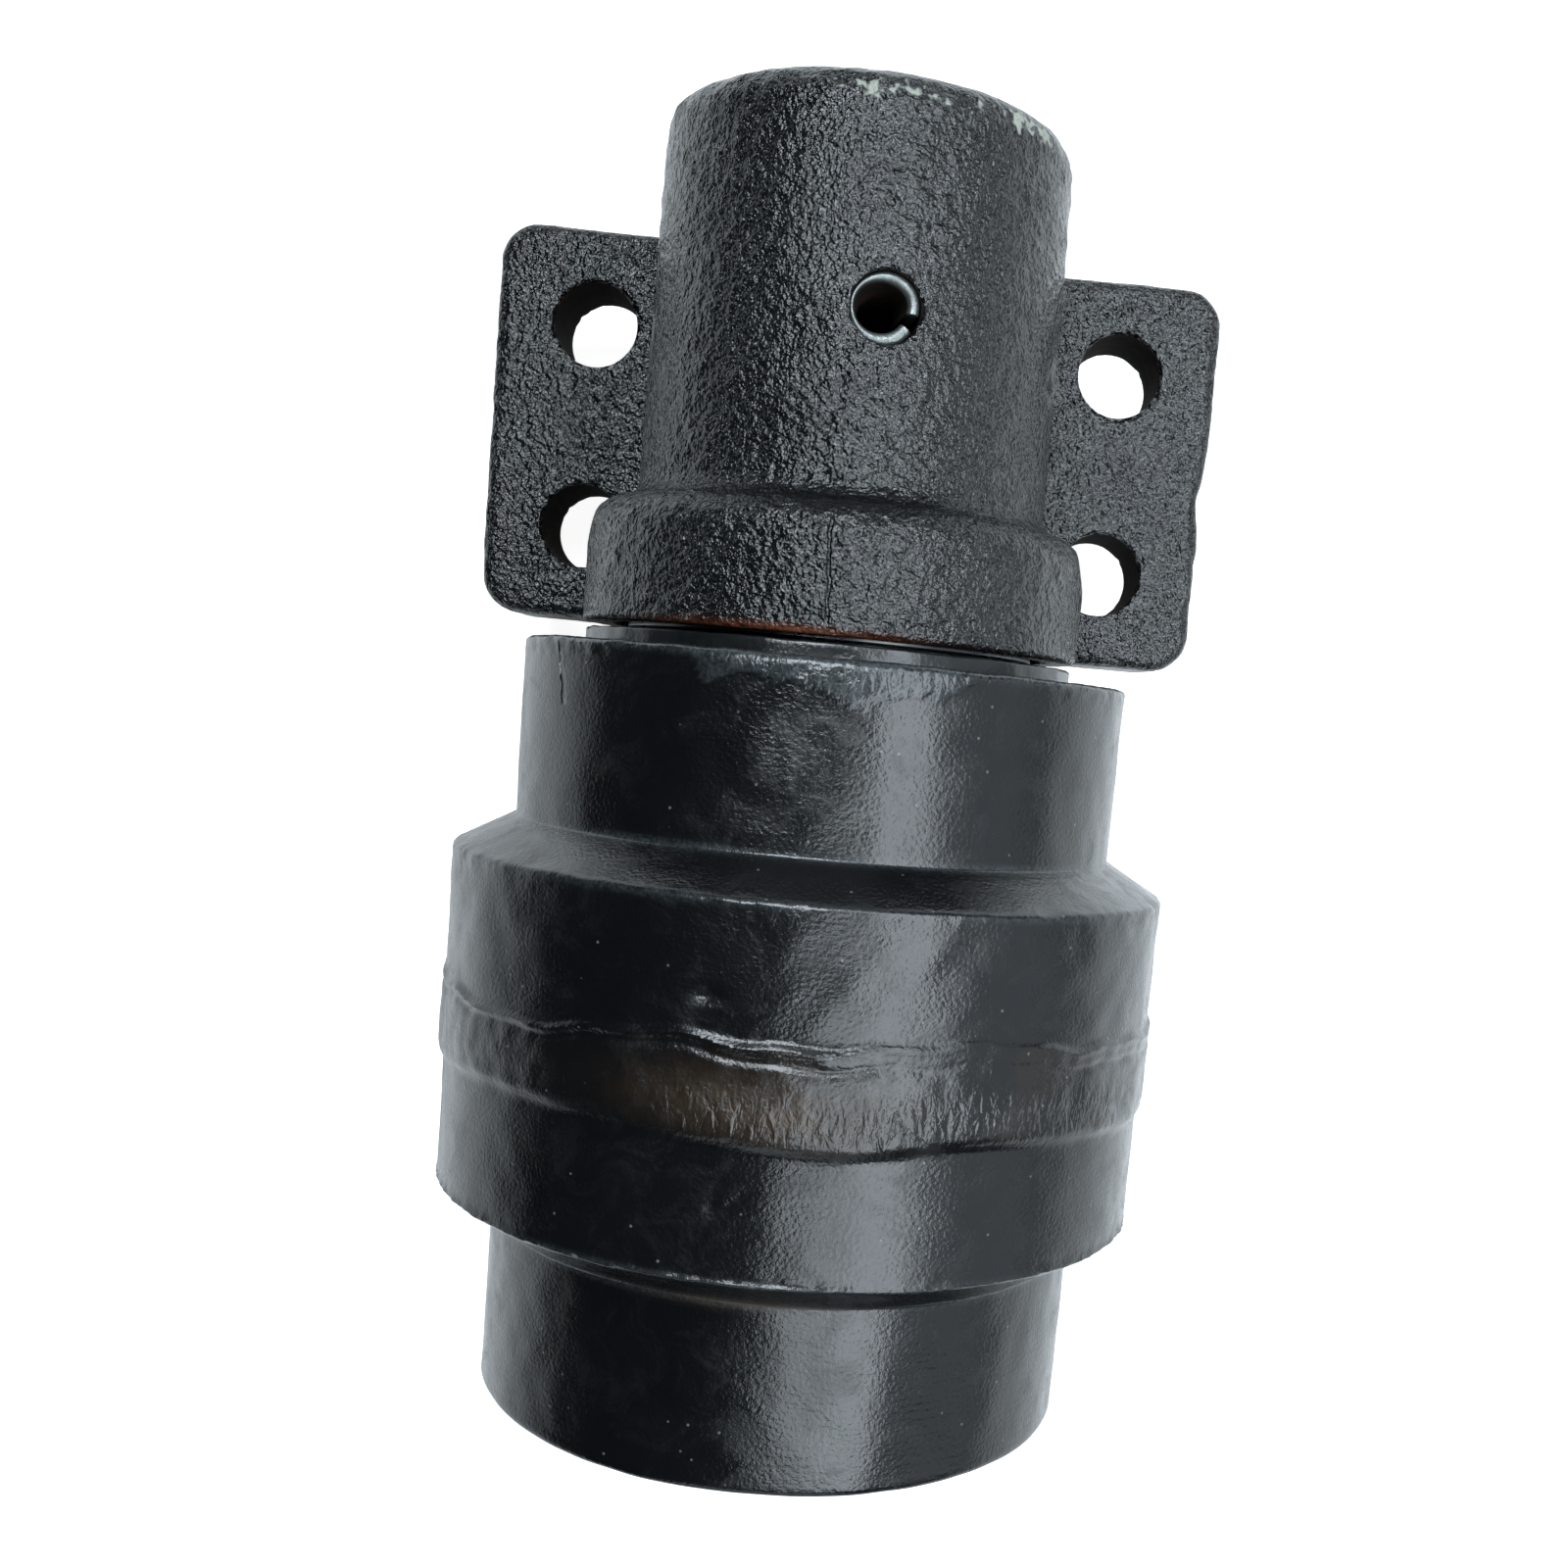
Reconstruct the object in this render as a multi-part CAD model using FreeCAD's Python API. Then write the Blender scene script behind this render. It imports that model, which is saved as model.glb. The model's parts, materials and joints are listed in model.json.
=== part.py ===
import FreeCAD, Part
import math
import os

# Carrier roller of a crawler machine on its cast cantilever bracket, in millimetres.
# Frame: +Y runs along the spin axis from the bracket out to the roller, +Z is up, and the
# origin is the centre of the four-bolt pattern on the bracket's flat underside.

V = FreeCAD.Vector
FOLDER = "parts"

# ---- driving sizes: bracket -------------------------------------------------------------
AXIS_HEIGHT = 50.0          # spin axis above the mounting face
PLATE_WIDTH = 154.0         # along X
PLATE_LENGTH = 81.0         # along Y
PLATE_THICKNESS = 24.0
PLATE_CORNER_R = 8.0
PLATE_EDGE_R = 2.5
BOLT_SPACING_X = 112.0
BOLT_SPACING_Y = 42.0
BOLT_HOLE_R = 8.75          # medium clearance for M16
BOSS_R_END = 39.4           # cast with draft, so the free end is slimmer
BOSS_R_ROOT = 40.4
BOSS_END_Y = -57.0
BOSS_EDGE_R = 6.5
COLLAR_R = 49.5
COLLAR_LENGTH = 24.0
COLLAR_EDGE_R = 6.5
COLLAR_FOOT_R = 4.0
BRACKET_FACE_Y = 42.0       # face that looks at the roller
FACE_EDGE_R = 1.0

# ---- driving sizes: shaft and its fixing ------------------------------------------------
SHAFT_R = 25.0
SHAFT_FIT = 0.01            # radial, shaft in bracket
SHAFT_RECESS = 2.0          # shaft end below the boss end
SHAFT_CHAMFER = 1.5
SHAFT_COLLAR_R = 31.0
RELIEF_DEPTH = 1.0          # journal is relieved between the bushings
RELIEF_MARGIN = 3.0
OIL_HOLE_R = 4.0
OIL_CROSS_R = 3.0
PIN_R = 6.5
PIN_WALL = 2.5
PIN_SLOT = 3.0
PIN_Y = -16.0
PIN_RECESS = 1.5
PIN_FOOT_GAP = 6.0          # pin's lower end above the mounting face
PIN_CHAMFER = 0.8
PIN_SLOT_TURN = 160.0       # degrees from +X
PIN_TILT = -8.5             # degrees about the spin axis, from upright
O_RING_Y = 18.0
O_RING_SECTION_R = 1.9
O_RING_GROOVE_WIDTH = 5.0

# ---- driving sizes: face seal -----------------------------------------------------------
FACE_GAP = 1.2              # open gap between bracket and roller
SEAL_HOUSING_R = 43.0
SEAL_RING_BORE_R = 32.5
SEAL_FACE_R = 40.5
SEAL_FACE_THICKNESS = 3.0
SEAL_RAMP = 1.0             # step from the face rim down to the barrel
SEAL_BARREL_R = 36.2
SEAL_RING_LENGTH = 11.2
SEAL_BACK_GAP = 0.3
SEAL_FILM = 0.05            # oil film between the two lapped faces
TORIC_SECTION_R = 3.4
TORIC_PLACE = 7.6           # toric centre behind the lapped face

# ---- driving sizes: roller --------------------------------------------------------------
NECK_R = 48.6               # lip of the seal seat ring
NECK_LENGTH = 2.8
SEAT_RING_R = 46.0
SEAT_LIP_EDGE_R = 0.5
TREAD_R = 60.0
INNER_TREAD_LENGTH = 34.5
SHOULDER_LENGTH = 6.5       # conical inner side of the flange
FLANGE_R = 71.5
FLANGE_LENGTH = 66.0
OUTER_SHOULDER_LENGTH = 7.0  # conical outer side of the flange
OUTER_TREAD_LENGTH = 36.0
TREAD_EDGE_R = 1.5
FLANGE_INNER_EDGE_R = 2.5
FLANGE_OUTER_EDGE_R = 1.0
ROOT_R = 2.0
BUSHING_SEAT_R = 28.0
BUSHING_LENGTH = 36.0
BUSHING_FLANGE_R = 33.0
BUSHING_FLANGE_T = 3.0
BUSHING_RUN = 0.06          # radial running clearance on the shaft
BUSHING_GROOVE_R = 1.2
CAVITY_R = 31.0
END_PLAY = 0.2
CHAMBER_R = 39.0
COVER_R = 41.0
COVER_FIT = 0.05
COVER_THICKNESS = 7.0
COVER_SETBACK = 4.5         # cover face below the roller's end
COVER_DISH_DEPTH = 1.0
COVER_DISH_R = 33.0
COVER_RING_SECTION_R = 1.5
MOUTH_CHAMFER = 1.5
SMALL_EDGE_R = 0.4          # broken edges of the small turned pieces
LARGE_EDGE_R = 0.8
BEYOND = 1.0                # how far a cutting tool runs past a face

# ---- driving sizes: retaining and filling hardware --------------------------------------
THRUST_PLATE_R = 36.0
THRUST_PLATE_T = 7.0
THRUST_PLATE_HOLE_R = 6.0
PLATE_BOLT_COUNT = 3
PLATE_BOLT_R = 5.0
PLATE_BOLT_EDGE = 4.0       # metal between a tapped hole and the shaft's outside
PLATE_BOLT_CLEARANCE = 0.5
PLATE_BOLT_THREAD_FIT = 0.02
PLATE_BOLT_GRIP = 20.0
PLATE_BOLT_HEAD_FLATS = 17.0
PLATE_BOLT_HEAD_T = 6.4
LOCK_WASHER_R = 9.0
LOCK_WASHER_T = 2.2
LOCK_WASHER_SLIT = 1.6
CIRCLIP_T = 2.5
CIRCLIP_GROOVE_DEPTH = 1.7
CIRCLIP_GROOVE_PLAY = 0.1
CIRCLIP_WIDTH = 5.5
CIRCLIP_LUG_R = 4.6
CIRCLIP_LUG_HOLE_R = 1.5
CIRCLIP_GAP_ANGLE = 26.0
CIRCLIP_LUG_INSET = 6.2
PLUG_THREAD_R = 7.0
PLUG_THREAD_FIT = 0.02
PLUG_HEAD_R = 10.0
PLUG_HEAD_T = 3.6
PLUG_SOCKET_FLATS = 8.0
PLUG_SOCKET_DEPTH = 6.0
PLUG_WASHER_T = 1.5
PLUG_SPOT_R = 12.0
PLUG_SPOT_DEPTH = 3.0
PLUG_STICK_OUT = 1.5        # thread past the cover's inner face
COVER_ROOM = 1.5            # free gap between screw heads and plug

# ---- places along the spin axis that follow from the sizes ------------------------------
COLLAR_START_Y = BRACKET_FACE_Y - COLLAR_LENGTH
SEAL_PLANE_Y = BRACKET_FACE_Y + FACE_GAP / 2
SEAL_REACH = SEAL_RING_LENGTH + SEAL_BACK_GAP
FIXED_HOUSING_Y = SEAL_PLANE_Y - SEAL_REACH
NECK_Y = BRACKET_FACE_Y + FACE_GAP
TREAD_START_Y = NECK_Y + NECK_LENGTH
SHOULDER_FOOT_Y = TREAD_START_Y + INNER_TREAD_LENGTH
FLANGE_START_Y = SHOULDER_FOOT_Y + SHOULDER_LENGTH
FLANGE_END_Y = FLANGE_START_Y + FLANGE_LENGTH
OUTER_SHOULDER_FOOT_Y = FLANGE_END_Y + OUTER_SHOULDER_LENGTH
ROLLER_END_Y = OUTER_SHOULDER_FOOT_Y + OUTER_TREAD_LENGTH
MOVING_HOUSING_Y = SEAL_PLANE_Y + SEAL_REACH
INNER_FLANGE_END_Y = MOVING_HOUSING_Y + BUSHING_FLANGE_T
INNER_BUSHING_END_Y = INNER_FLANGE_END_Y + BUSHING_LENGTH
SHAFT_COLLAR_END_Y = MOVING_HOUSING_Y - END_PLAY
COVER_FACE_Y = ROLLER_END_Y - COVER_SETBACK
COVER_SEAT_Y = COVER_FACE_Y - COVER_THICKNESS
HEAD_STACK = LOCK_WASHER_T + PLATE_BOLT_HEAD_T + PLUG_STICK_OUT
THRUST_FACE_Y = COVER_SEAT_Y - COVER_ROOM - HEAD_STACK - THRUST_PLATE_T
OUTER_FLANGE_Y = THRUST_FACE_Y - END_PLAY - BUSHING_FLANGE_T
OUTER_BUSHING_START_Y = OUTER_FLANGE_Y - BUSHING_LENGTH
SHAFT_START_Y = BOSS_END_Y + SHAFT_RECESS
PLATE_BOLT_CIRCLE_R = SHAFT_R - PLATE_BOLT_R - PLATE_BOLT_EDGE
O_RING_GROOVE_R = SHAFT_R + SHAFT_FIT - 2 * O_RING_SECTION_R
PLUG_SEAT_Y = COVER_FACE_Y - PLUG_SPOT_DEPTH


def axis_point(y, radius=0.0, degrees=0.0):
    """Point at a radius and turn about the spin axis; 0 degrees is +X, 90 is +Z."""
    turn = math.radians(degrees)
    return V(radius * math.cos(turn), y, AXIS_HEIGHT + radius * math.sin(turn))


def cylinder_y(radius, y_from, y_to, centre=None):
    """Cylinder along Y, on the spin axis unless a centre point is given."""
    base = centre if centre else axis_point(0)
    return Part.makeCylinder(radius, y_to - y_from, V(base.x, y_from, base.z), V(0, 1, 0))


def cylinder_z(radius, x, y, z_from, z_to):
    """Upright cylinder."""
    return Part.makeCylinder(radius, z_to - z_from, V(x, y, z_from), V(0, 0, 1))


def prism_y(flats, y_from, y_to, centre):
    """Hexagonal prism along Y, from its width across flats."""
    reach = flats / math.sqrt(3)
    corners = []
    for step in range(7):
        turn = math.radians(60 * step)
        corners.append(V(centre.x + reach * math.cos(turn), y_from, centre.z + reach * math.sin(turn)))
    return Part.Face(Part.makePolygon(corners)).extrude(V(0, y_to - y_from, 0))


def turned(corners):
    """Solid of revolution about the spin axis from (y, radius, corner radius) points."""
    points = [axis_point(y, radius) for y, radius, _ in corners]
    count = len(points)
    edges = []
    last = None
    first = None
    for index in range(count):
        here = points[index]
        back = (points[index - 1] - here).normalize()
        ahead = (points[(index + 1) % count] - here).normalize()
        corner_r = corners[index][2]
        start = end = here
        arc = None
        if corner_r > 0:
            half = back.getAngle(ahead) / 2
            reach = corner_r / math.tan(half)
            middle = (back + ahead).normalize()
            centre = here + middle * (corner_r / math.sin(half))
            start = here + back * reach
            end = here + ahead * reach
            arc = Part.Arc(start, centre - middle * corner_r, end).toShape()
        if last is not None:
            edges.append(Part.LineSegment(last, start).toShape())
        else:
            first = start
        if arc:
            edges.append(arc)
        last = end
    edges.append(Part.LineSegment(last, first).toShape())
    face = Part.Face(Part.Wire(edges))
    return face.revolve(axis_point(0), V(0, 1, 0), 360)


def torus_y(centre_r, section_r, y):
    """Ring of round section about the spin axis."""
    return Part.makeTorus(centre_r, section_r, axis_point(y), V(0, 1, 0))


def bolt_turns():
    """Turns of the thrust plate's bolts about the spin axis, in degrees."""
    return [90 + 360 * number / PLATE_BOLT_COUNT for number in range(PLATE_BOLT_COUNT)]


def tilted(shape):
    """Turns an upright shape about the spin axis, to the spring pin's direction."""
    shape.rotate(axis_point(0), V(0, 1, 0), PIN_TILT)
    return shape


def pin_hole():
    """Straight hole for the spring pin, right through boss, shaft and plate."""
    reach = AXIS_HEIGHT + COLLAR_R
    return tilted(cylinder_z(PIN_R, 0, PIN_Y, AXIS_HEIGHT - reach, AXIS_HEIGHT + reach))


def bracket():
    """Cast boss, collar and four-bolt plate, machined for shaft, seal and pin."""
    barrel = turned([
        (BOSS_END_Y, 0, 0),
        (BOSS_END_Y, BOSS_R_END, BOSS_EDGE_R),
        (COLLAR_START_Y, BOSS_R_ROOT, COLLAR_FOOT_R),
        (COLLAR_START_Y, COLLAR_R, COLLAR_EDGE_R),
        (BRACKET_FACE_Y, COLLAR_R, FACE_EDGE_R),
        (BRACKET_FACE_Y, 0, 0),
    ])
    corner = V(-PLATE_WIDTH / 2, -PLATE_LENGTH / 2, 0)
    plate = Part.makeBox(PLATE_WIDTH, PLATE_LENGTH, PLATE_THICKNESS, corner)
    upright = [edge for edge in plate.Edges if edge.BoundBox.ZLength > PLATE_THICKNESS / 2]
    plate = plate.makeFillet(PLATE_CORNER_R, upright)
    rim = [edge for edge in plate.Edges if edge.BoundBox.ZMin > PLATE_THICKNESS / 2]
    plate = plate.makeFillet(PLATE_EDGE_R, rim)
    body = plate.fuse(barrel)
    for x in (-BOLT_SPACING_X / 2, BOLT_SPACING_X / 2):
        for y in (-BOLT_SPACING_Y / 2, BOLT_SPACING_Y / 2):
            body = body.cut(cylinder_z(BOLT_HOLE_R, x, y, -BEYOND, PLATE_THICKNESS + BEYOND))
    body = body.cut(cylinder_y(SHAFT_R + SHAFT_FIT, BOSS_END_Y - BEYOND, BRACKET_FACE_Y + BEYOND))
    body = body.cut(cylinder_y(SEAL_HOUSING_R, FIXED_HOUSING_Y, BRACKET_FACE_Y + BEYOND))
    return body.cut(pin_hole())


def shaft():
    """Stepped shaft with seal groove, pin hole, oil ways and tapped end."""
    relief_start = INNER_BUSHING_END_Y + RELIEF_MARGIN
    relief_end = OUTER_BUSHING_START_Y - RELIEF_MARGIN
    body = turned([
        (SHAFT_START_Y, 0, 0),
        (SHAFT_START_Y, SHAFT_R - SHAFT_CHAMFER, 0),
        (SHAFT_START_Y + SHAFT_CHAMFER, SHAFT_R, 0),
        (O_RING_Y - O_RING_GROOVE_WIDTH / 2, SHAFT_R, 0),
        (O_RING_Y - O_RING_GROOVE_WIDTH / 2, O_RING_GROOVE_R, 0),
        (O_RING_Y + O_RING_GROOVE_WIDTH / 2, O_RING_GROOVE_R, 0),
        (O_RING_Y + O_RING_GROOVE_WIDTH / 2, SHAFT_R, 0),
        (FIXED_HOUSING_Y, SHAFT_R, 0),
        (FIXED_HOUSING_Y, SHAFT_COLLAR_R, 0),
        (SHAFT_COLLAR_END_Y, SHAFT_COLLAR_R, 0),
        (SHAFT_COLLAR_END_Y, SHAFT_R, 0),
        (relief_start, SHAFT_R, 0),
        (relief_start + RELIEF_DEPTH, SHAFT_R - RELIEF_DEPTH, 0),
        (relief_end - RELIEF_DEPTH, SHAFT_R - RELIEF_DEPTH, 0),
        (relief_end, SHAFT_R, 0),
        (THRUST_FACE_Y, SHAFT_R, 0),
        (THRUST_FACE_Y, 0, 0),
    ])
    body = body.cut(pin_hole())
    oil_y = (relief_start + relief_end) / 2
    body = body.cut(cylinder_y(OIL_HOLE_R, oil_y, THRUST_FACE_Y + BEYOND))
    body = body.cut(cylinder_z(OIL_CROSS_R, 0, oil_y, AXIS_HEIGHT, AXIS_HEIGHT + SHAFT_R))
    for turn in bolt_turns():
        centre = axis_point(0, PLATE_BOLT_CIRCLE_R, turn)
        depth = THRUST_FACE_Y - PLATE_BOLT_GRIP - PLATE_BOLT_R
        body = body.cut(cylinder_y(PLATE_BOLT_R, depth, THRUST_FACE_Y + BEYOND, centre))
    return body


def spring_pin():
    """Rolled pin with a lengthwise slot, through boss and shaft."""
    top = AXIS_HEIGHT + boss_radius_at(PIN_Y) - PIN_RECESS
    bottom = PIN_FOOT_GAP
    slim = PIN_R - PIN_CHAMFER
    lower = Part.makeCone(slim, PIN_R, PIN_CHAMFER, V(0, PIN_Y, bottom))
    middle = cylinder_z(PIN_R, 0, PIN_Y, bottom + PIN_CHAMFER, top - PIN_CHAMFER)
    upper = Part.makeCone(PIN_R, slim, PIN_CHAMFER, V(0, PIN_Y, top - PIN_CHAMFER))
    body = lower.fuse(middle).fuse(upper).removeSplitter()
    body = body.cut(cylinder_z(PIN_R - PIN_WALL, 0, PIN_Y, bottom - BEYOND, top + BEYOND))
    slot_foot = V(0, PIN_Y - PIN_SLOT / 2, bottom - BEYOND)
    slot = Part.makeBox(2 * PIN_R, PIN_SLOT, top - bottom + 2 * BEYOND, slot_foot)
    slot.rotate(V(0, PIN_Y, 0), V(0, 0, 1), PIN_SLOT_TURN)
    return tilted(body.cut(slot))


def boss_radius_at(y):
    """Radius of the drafted boss at a place along the axis."""
    share = (y - BOSS_END_Y) / (COLLAR_START_Y - BOSS_END_Y)
    return BOSS_R_END + share * (BOSS_R_ROOT - BOSS_R_END)


def shaft_o_ring():
    """O-ring in the shaft's groove, against the bracket bore."""
    return torus_y(SHAFT_R + SHAFT_FIT - O_RING_SECTION_R, O_RING_SECTION_R, O_RING_Y)


def seal_ring(side):
    """Hard metal ring of the face seal; side is -1 in the bracket, +1 in the roller."""
    def at(depth):
        return SEAL_PLANE_Y + side * (depth + SEAL_FILM / 2)
    body = turned([
        (at(0), SEAL_RING_BORE_R, 0),
        (at(0), SEAL_FACE_R, SMALL_EDGE_R),
        (at(SEAL_FACE_THICKNESS), SEAL_FACE_R, SMALL_EDGE_R),
        (at(SEAL_FACE_THICKNESS + SEAL_RAMP), SEAL_BARREL_R, 0),
        (at(SEAL_RING_LENGTH), SEAL_BARREL_R, LARGE_EDGE_R),
        (at(SEAL_RING_LENGTH), SEAL_RING_BORE_R, 0),
    ])
    return body


def seal_toric(side):
    """Rubber ring that loads a seal ring, squeezed between its barrel and the housing."""
    centre_r = (SEAL_BARREL_R + SEAL_HOUSING_R) / 2
    return torus_y(centre_r, TORIC_SECTION_R, SEAL_PLANE_Y + side * TORIC_PLACE)


def thrust_plate():
    """Round plate that holds the roller on the shaft."""
    body = turned([
        (THRUST_FACE_Y, THRUST_PLATE_HOLE_R, 0),
        (THRUST_FACE_Y, THRUST_PLATE_R, SMALL_EDGE_R),
        (THRUST_FACE_Y + THRUST_PLATE_T, THRUST_PLATE_R, LARGE_EDGE_R),
        (THRUST_FACE_Y + THRUST_PLATE_T, THRUST_PLATE_HOLE_R, 0),
    ])
    outer_face = THRUST_FACE_Y + THRUST_PLATE_T
    for turn in bolt_turns():
        centre = axis_point(0, PLATE_BOLT_CIRCLE_R, turn)
        hole_r = PLATE_BOLT_R + PLATE_BOLT_CLEARANCE
        body = body.cut(cylinder_y(hole_r, THRUST_FACE_Y - BEYOND, outer_face + BEYOND, centre))
    return body


def thrust_plate_bolts():
    """Three hexagon screws into the shaft end."""
    seat = THRUST_FACE_Y + THRUST_PLATE_T + LOCK_WASHER_T
    bolts = []
    for turn in bolt_turns():
        centre = axis_point(0, PLATE_BOLT_CIRCLE_R, turn)
        shank_r = PLATE_BOLT_R - PLATE_BOLT_THREAD_FIT
        shank = cylinder_y(shank_r, THRUST_FACE_Y - PLATE_BOLT_GRIP, seat, centre)
        head = prism_y(PLATE_BOLT_HEAD_FLATS, seat, seat + PLATE_BOLT_HEAD_T, centre)
        bolts.append(shank.fuse(head).removeSplitter())
    return Part.makeCompound(bolts)


def lock_washers():
    """Three split spring washers under the screw heads."""
    seat = THRUST_FACE_Y + THRUST_PLATE_T
    top = seat + LOCK_WASHER_T
    washers = []
    for turn in bolt_turns():
        centre = axis_point(0, PLATE_BOLT_CIRCLE_R, turn)
        washer = cylinder_y(LOCK_WASHER_R, seat, top, centre)
        washer = washer.cut(cylinder_y(PLATE_BOLT_R, seat - BEYOND, top + BEYOND, centre))
        low = V(centre.x - LOCK_WASHER_SLIT / 2, seat - BEYOND, centre.z)
        slit = Part.makeBox(LOCK_WASHER_SLIT, LOCK_WASHER_T + 2 * BEYOND, LOCK_WASHER_R + BEYOND, low)
        washers.append(washer.cut(slit))
    return Part.makeCompound(washers)


def roller_shell():
    """Forged shell: two treads, the wide flange between them, and the machined bore."""
    groove_y = COVER_FACE_Y
    groove_end = groove_y + CIRCLIP_T + CIRCLIP_GROOVE_PLAY
    groove_r = COVER_R + CIRCLIP_GROOVE_DEPTH
    return turned([
        (TREAD_START_Y, SEAT_RING_R, 0),
        (TREAD_START_Y, TREAD_R, TREAD_EDGE_R),
        (SHOULDER_FOOT_Y, TREAD_R, ROOT_R),
        (FLANGE_START_Y, FLANGE_R, FLANGE_INNER_EDGE_R),
        (FLANGE_END_Y, FLANGE_R, FLANGE_OUTER_EDGE_R),
        (OUTER_SHOULDER_FOOT_Y, TREAD_R, ROOT_R),
        (ROLLER_END_Y, TREAD_R, TREAD_EDGE_R),
        (ROLLER_END_Y, COVER_R + MOUTH_CHAMFER, 0),
        (ROLLER_END_Y - MOUTH_CHAMFER, COVER_R, 0),
        (groove_end, COVER_R, 0),
        (groove_end, groove_r, 0),
        (groove_y, groove_r, 0),
        (groove_y, COVER_R, 0),
        (COVER_SEAT_Y, COVER_R, 0),
        (COVER_SEAT_Y, CHAMBER_R, 0),
        (OUTER_FLANGE_Y, CHAMBER_R, 0),
        (OUTER_FLANGE_Y, BUSHING_SEAT_R, 0),
        (OUTER_BUSHING_START_Y, BUSHING_SEAT_R, 0),
        (OUTER_BUSHING_START_Y, CAVITY_R, 0),
        (INNER_BUSHING_END_Y, CAVITY_R, 0),
        (INNER_BUSHING_END_Y, BUSHING_SEAT_R, 0),
        (INNER_FLANGE_END_Y, BUSHING_SEAT_R, 0),
        (INNER_FLANGE_END_Y, BUSHING_FLANGE_R, 0),
        (MOVING_HOUSING_Y, BUSHING_FLANGE_R, 0),
        (MOVING_HOUSING_Y, SEAT_RING_R, 0),
    ])


def seal_seat_ring():
    """Ring pressed into the shell's mouth; its lip fills the neck between bracket and tread."""
    return turned([
        (NECK_Y, SEAL_HOUSING_R, 0),
        (NECK_Y, NECK_R, SEAT_LIP_EDGE_R),
        (TREAD_START_Y, NECK_R, 0),
        (TREAD_START_Y, SEAT_RING_R, 0),
        (MOVING_HOUSING_Y, SEAT_RING_R, 0),
        (MOVING_HOUSING_Y, SEAL_HOUSING_R, 0),
    ])


def bushing(flange_y, sleeve_side):
    """Flanged bushing; the sleeve runs from its flange towards sleeve_side along Y."""
    bore_r = SHAFT_R + BUSHING_RUN
    face = flange_y if sleeve_side > 0 else flange_y + BUSHING_FLANGE_T
    back = face + sleeve_side * BUSHING_FLANGE_T
    tip = back + sleeve_side * BUSHING_LENGTH
    body = turned([
        (face, bore_r, 0),
        (face, BUSHING_FLANGE_R, 0),
        (back, BUSHING_FLANGE_R, 0),
        (back, BUSHING_SEAT_R, 0),
        (tip, BUSHING_SEAT_R, 0),
        (tip, bore_r, 0),
    ])
    groove_from = min(face, tip) - BEYOND
    groove_to = max(face, tip) + BEYOND
    for turn in (0, 180):
        centre = axis_point(0, bore_r, turn)
        body = body.cut(cylinder_y(BUSHING_GROOVE_R, groove_from, groove_to, centre))
    return body


def end_cover():
    """Turned cover with a dished face, an O-ring groove and the filler hole."""
    outer_r = COVER_R - COVER_FIT
    groove_r = COVER_R - 2 * COVER_RING_SECTION_R
    middle = (COVER_SEAT_Y + COVER_FACE_Y) / 2
    dish_y = COVER_FACE_Y - COVER_DISH_DEPTH
    body = turned([
        (COVER_SEAT_Y, 0, 0),
        (COVER_SEAT_Y, outer_r, 0),
        (middle - COVER_RING_SECTION_R, outer_r, 0),
        (middle - COVER_RING_SECTION_R, groove_r, 0),
        (middle + COVER_RING_SECTION_R, groove_r, 0),
        (middle + COVER_RING_SECTION_R, outer_r, 0),
        (COVER_FACE_Y, outer_r, 0),
        (COVER_FACE_Y, COVER_DISH_R + COVER_DISH_DEPTH, 0),
        (dish_y, COVER_DISH_R, 0),
        (dish_y, PLUG_SPOT_R, 0),
        (PLUG_SEAT_Y, PLUG_SPOT_R, 0),
        (PLUG_SEAT_Y, 0, 0),
    ])
    return body.cut(cylinder_y(PLUG_THREAD_R, COVER_SEAT_Y - BEYOND, COVER_FACE_Y))


def cover_o_ring():
    """O-ring in the cover's groove."""
    middle = (COVER_SEAT_Y + COVER_FACE_Y) / 2
    return torus_y(COVER_R - COVER_RING_SECTION_R, COVER_RING_SECTION_R, middle)


def circlip():
    """Internal retaining ring with two eared ends, sprung into the shell's groove."""
    outer_r = COVER_R + CIRCLIP_GROOVE_DEPTH - CIRCLIP_GROOVE_PLAY
    y_from = COVER_FACE_Y
    y_to = y_from + CIRCLIP_T
    ring = cylinder_y(outer_r, y_from, y_to)
    ring = ring.cut(cylinder_y(outer_r - CIRCLIP_WIDTH, y_from - BEYOND, y_to + BEYOND))
    half = math.radians(CIRCLIP_GAP_ANGLE / 2)
    reach = 2 * outer_r
    wedge = Part.Face(Part.makePolygon([
        axis_point(y_from - BEYOND),
        axis_point(y_from - BEYOND) + V(reach * math.sin(half), 0, -reach * math.cos(half)),
        axis_point(y_from - BEYOND) + V(-reach * math.sin(half), 0, -reach * math.cos(half)),
        axis_point(y_from - BEYOND),
    ])).extrude(V(0, CIRCLIP_T + 2 * BEYOND, 0))
    ring = ring.cut(wedge)
    for side in (-1, 1):
        turn = -90 + side * (CIRCLIP_GAP_ANGLE / 2 + math.degrees(CIRCLIP_LUG_R / outer_r))
        centre = axis_point(0, outer_r - CIRCLIP_LUG_INSET, turn)
        ring = ring.fuse(cylinder_y(CIRCLIP_LUG_R, y_from, y_to, centre))
        ring = ring.cut(cylinder_y(CIRCLIP_LUG_HOLE_R, y_from - BEYOND, y_to + BEYOND, centre))
    return ring.removeSplitter()


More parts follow.
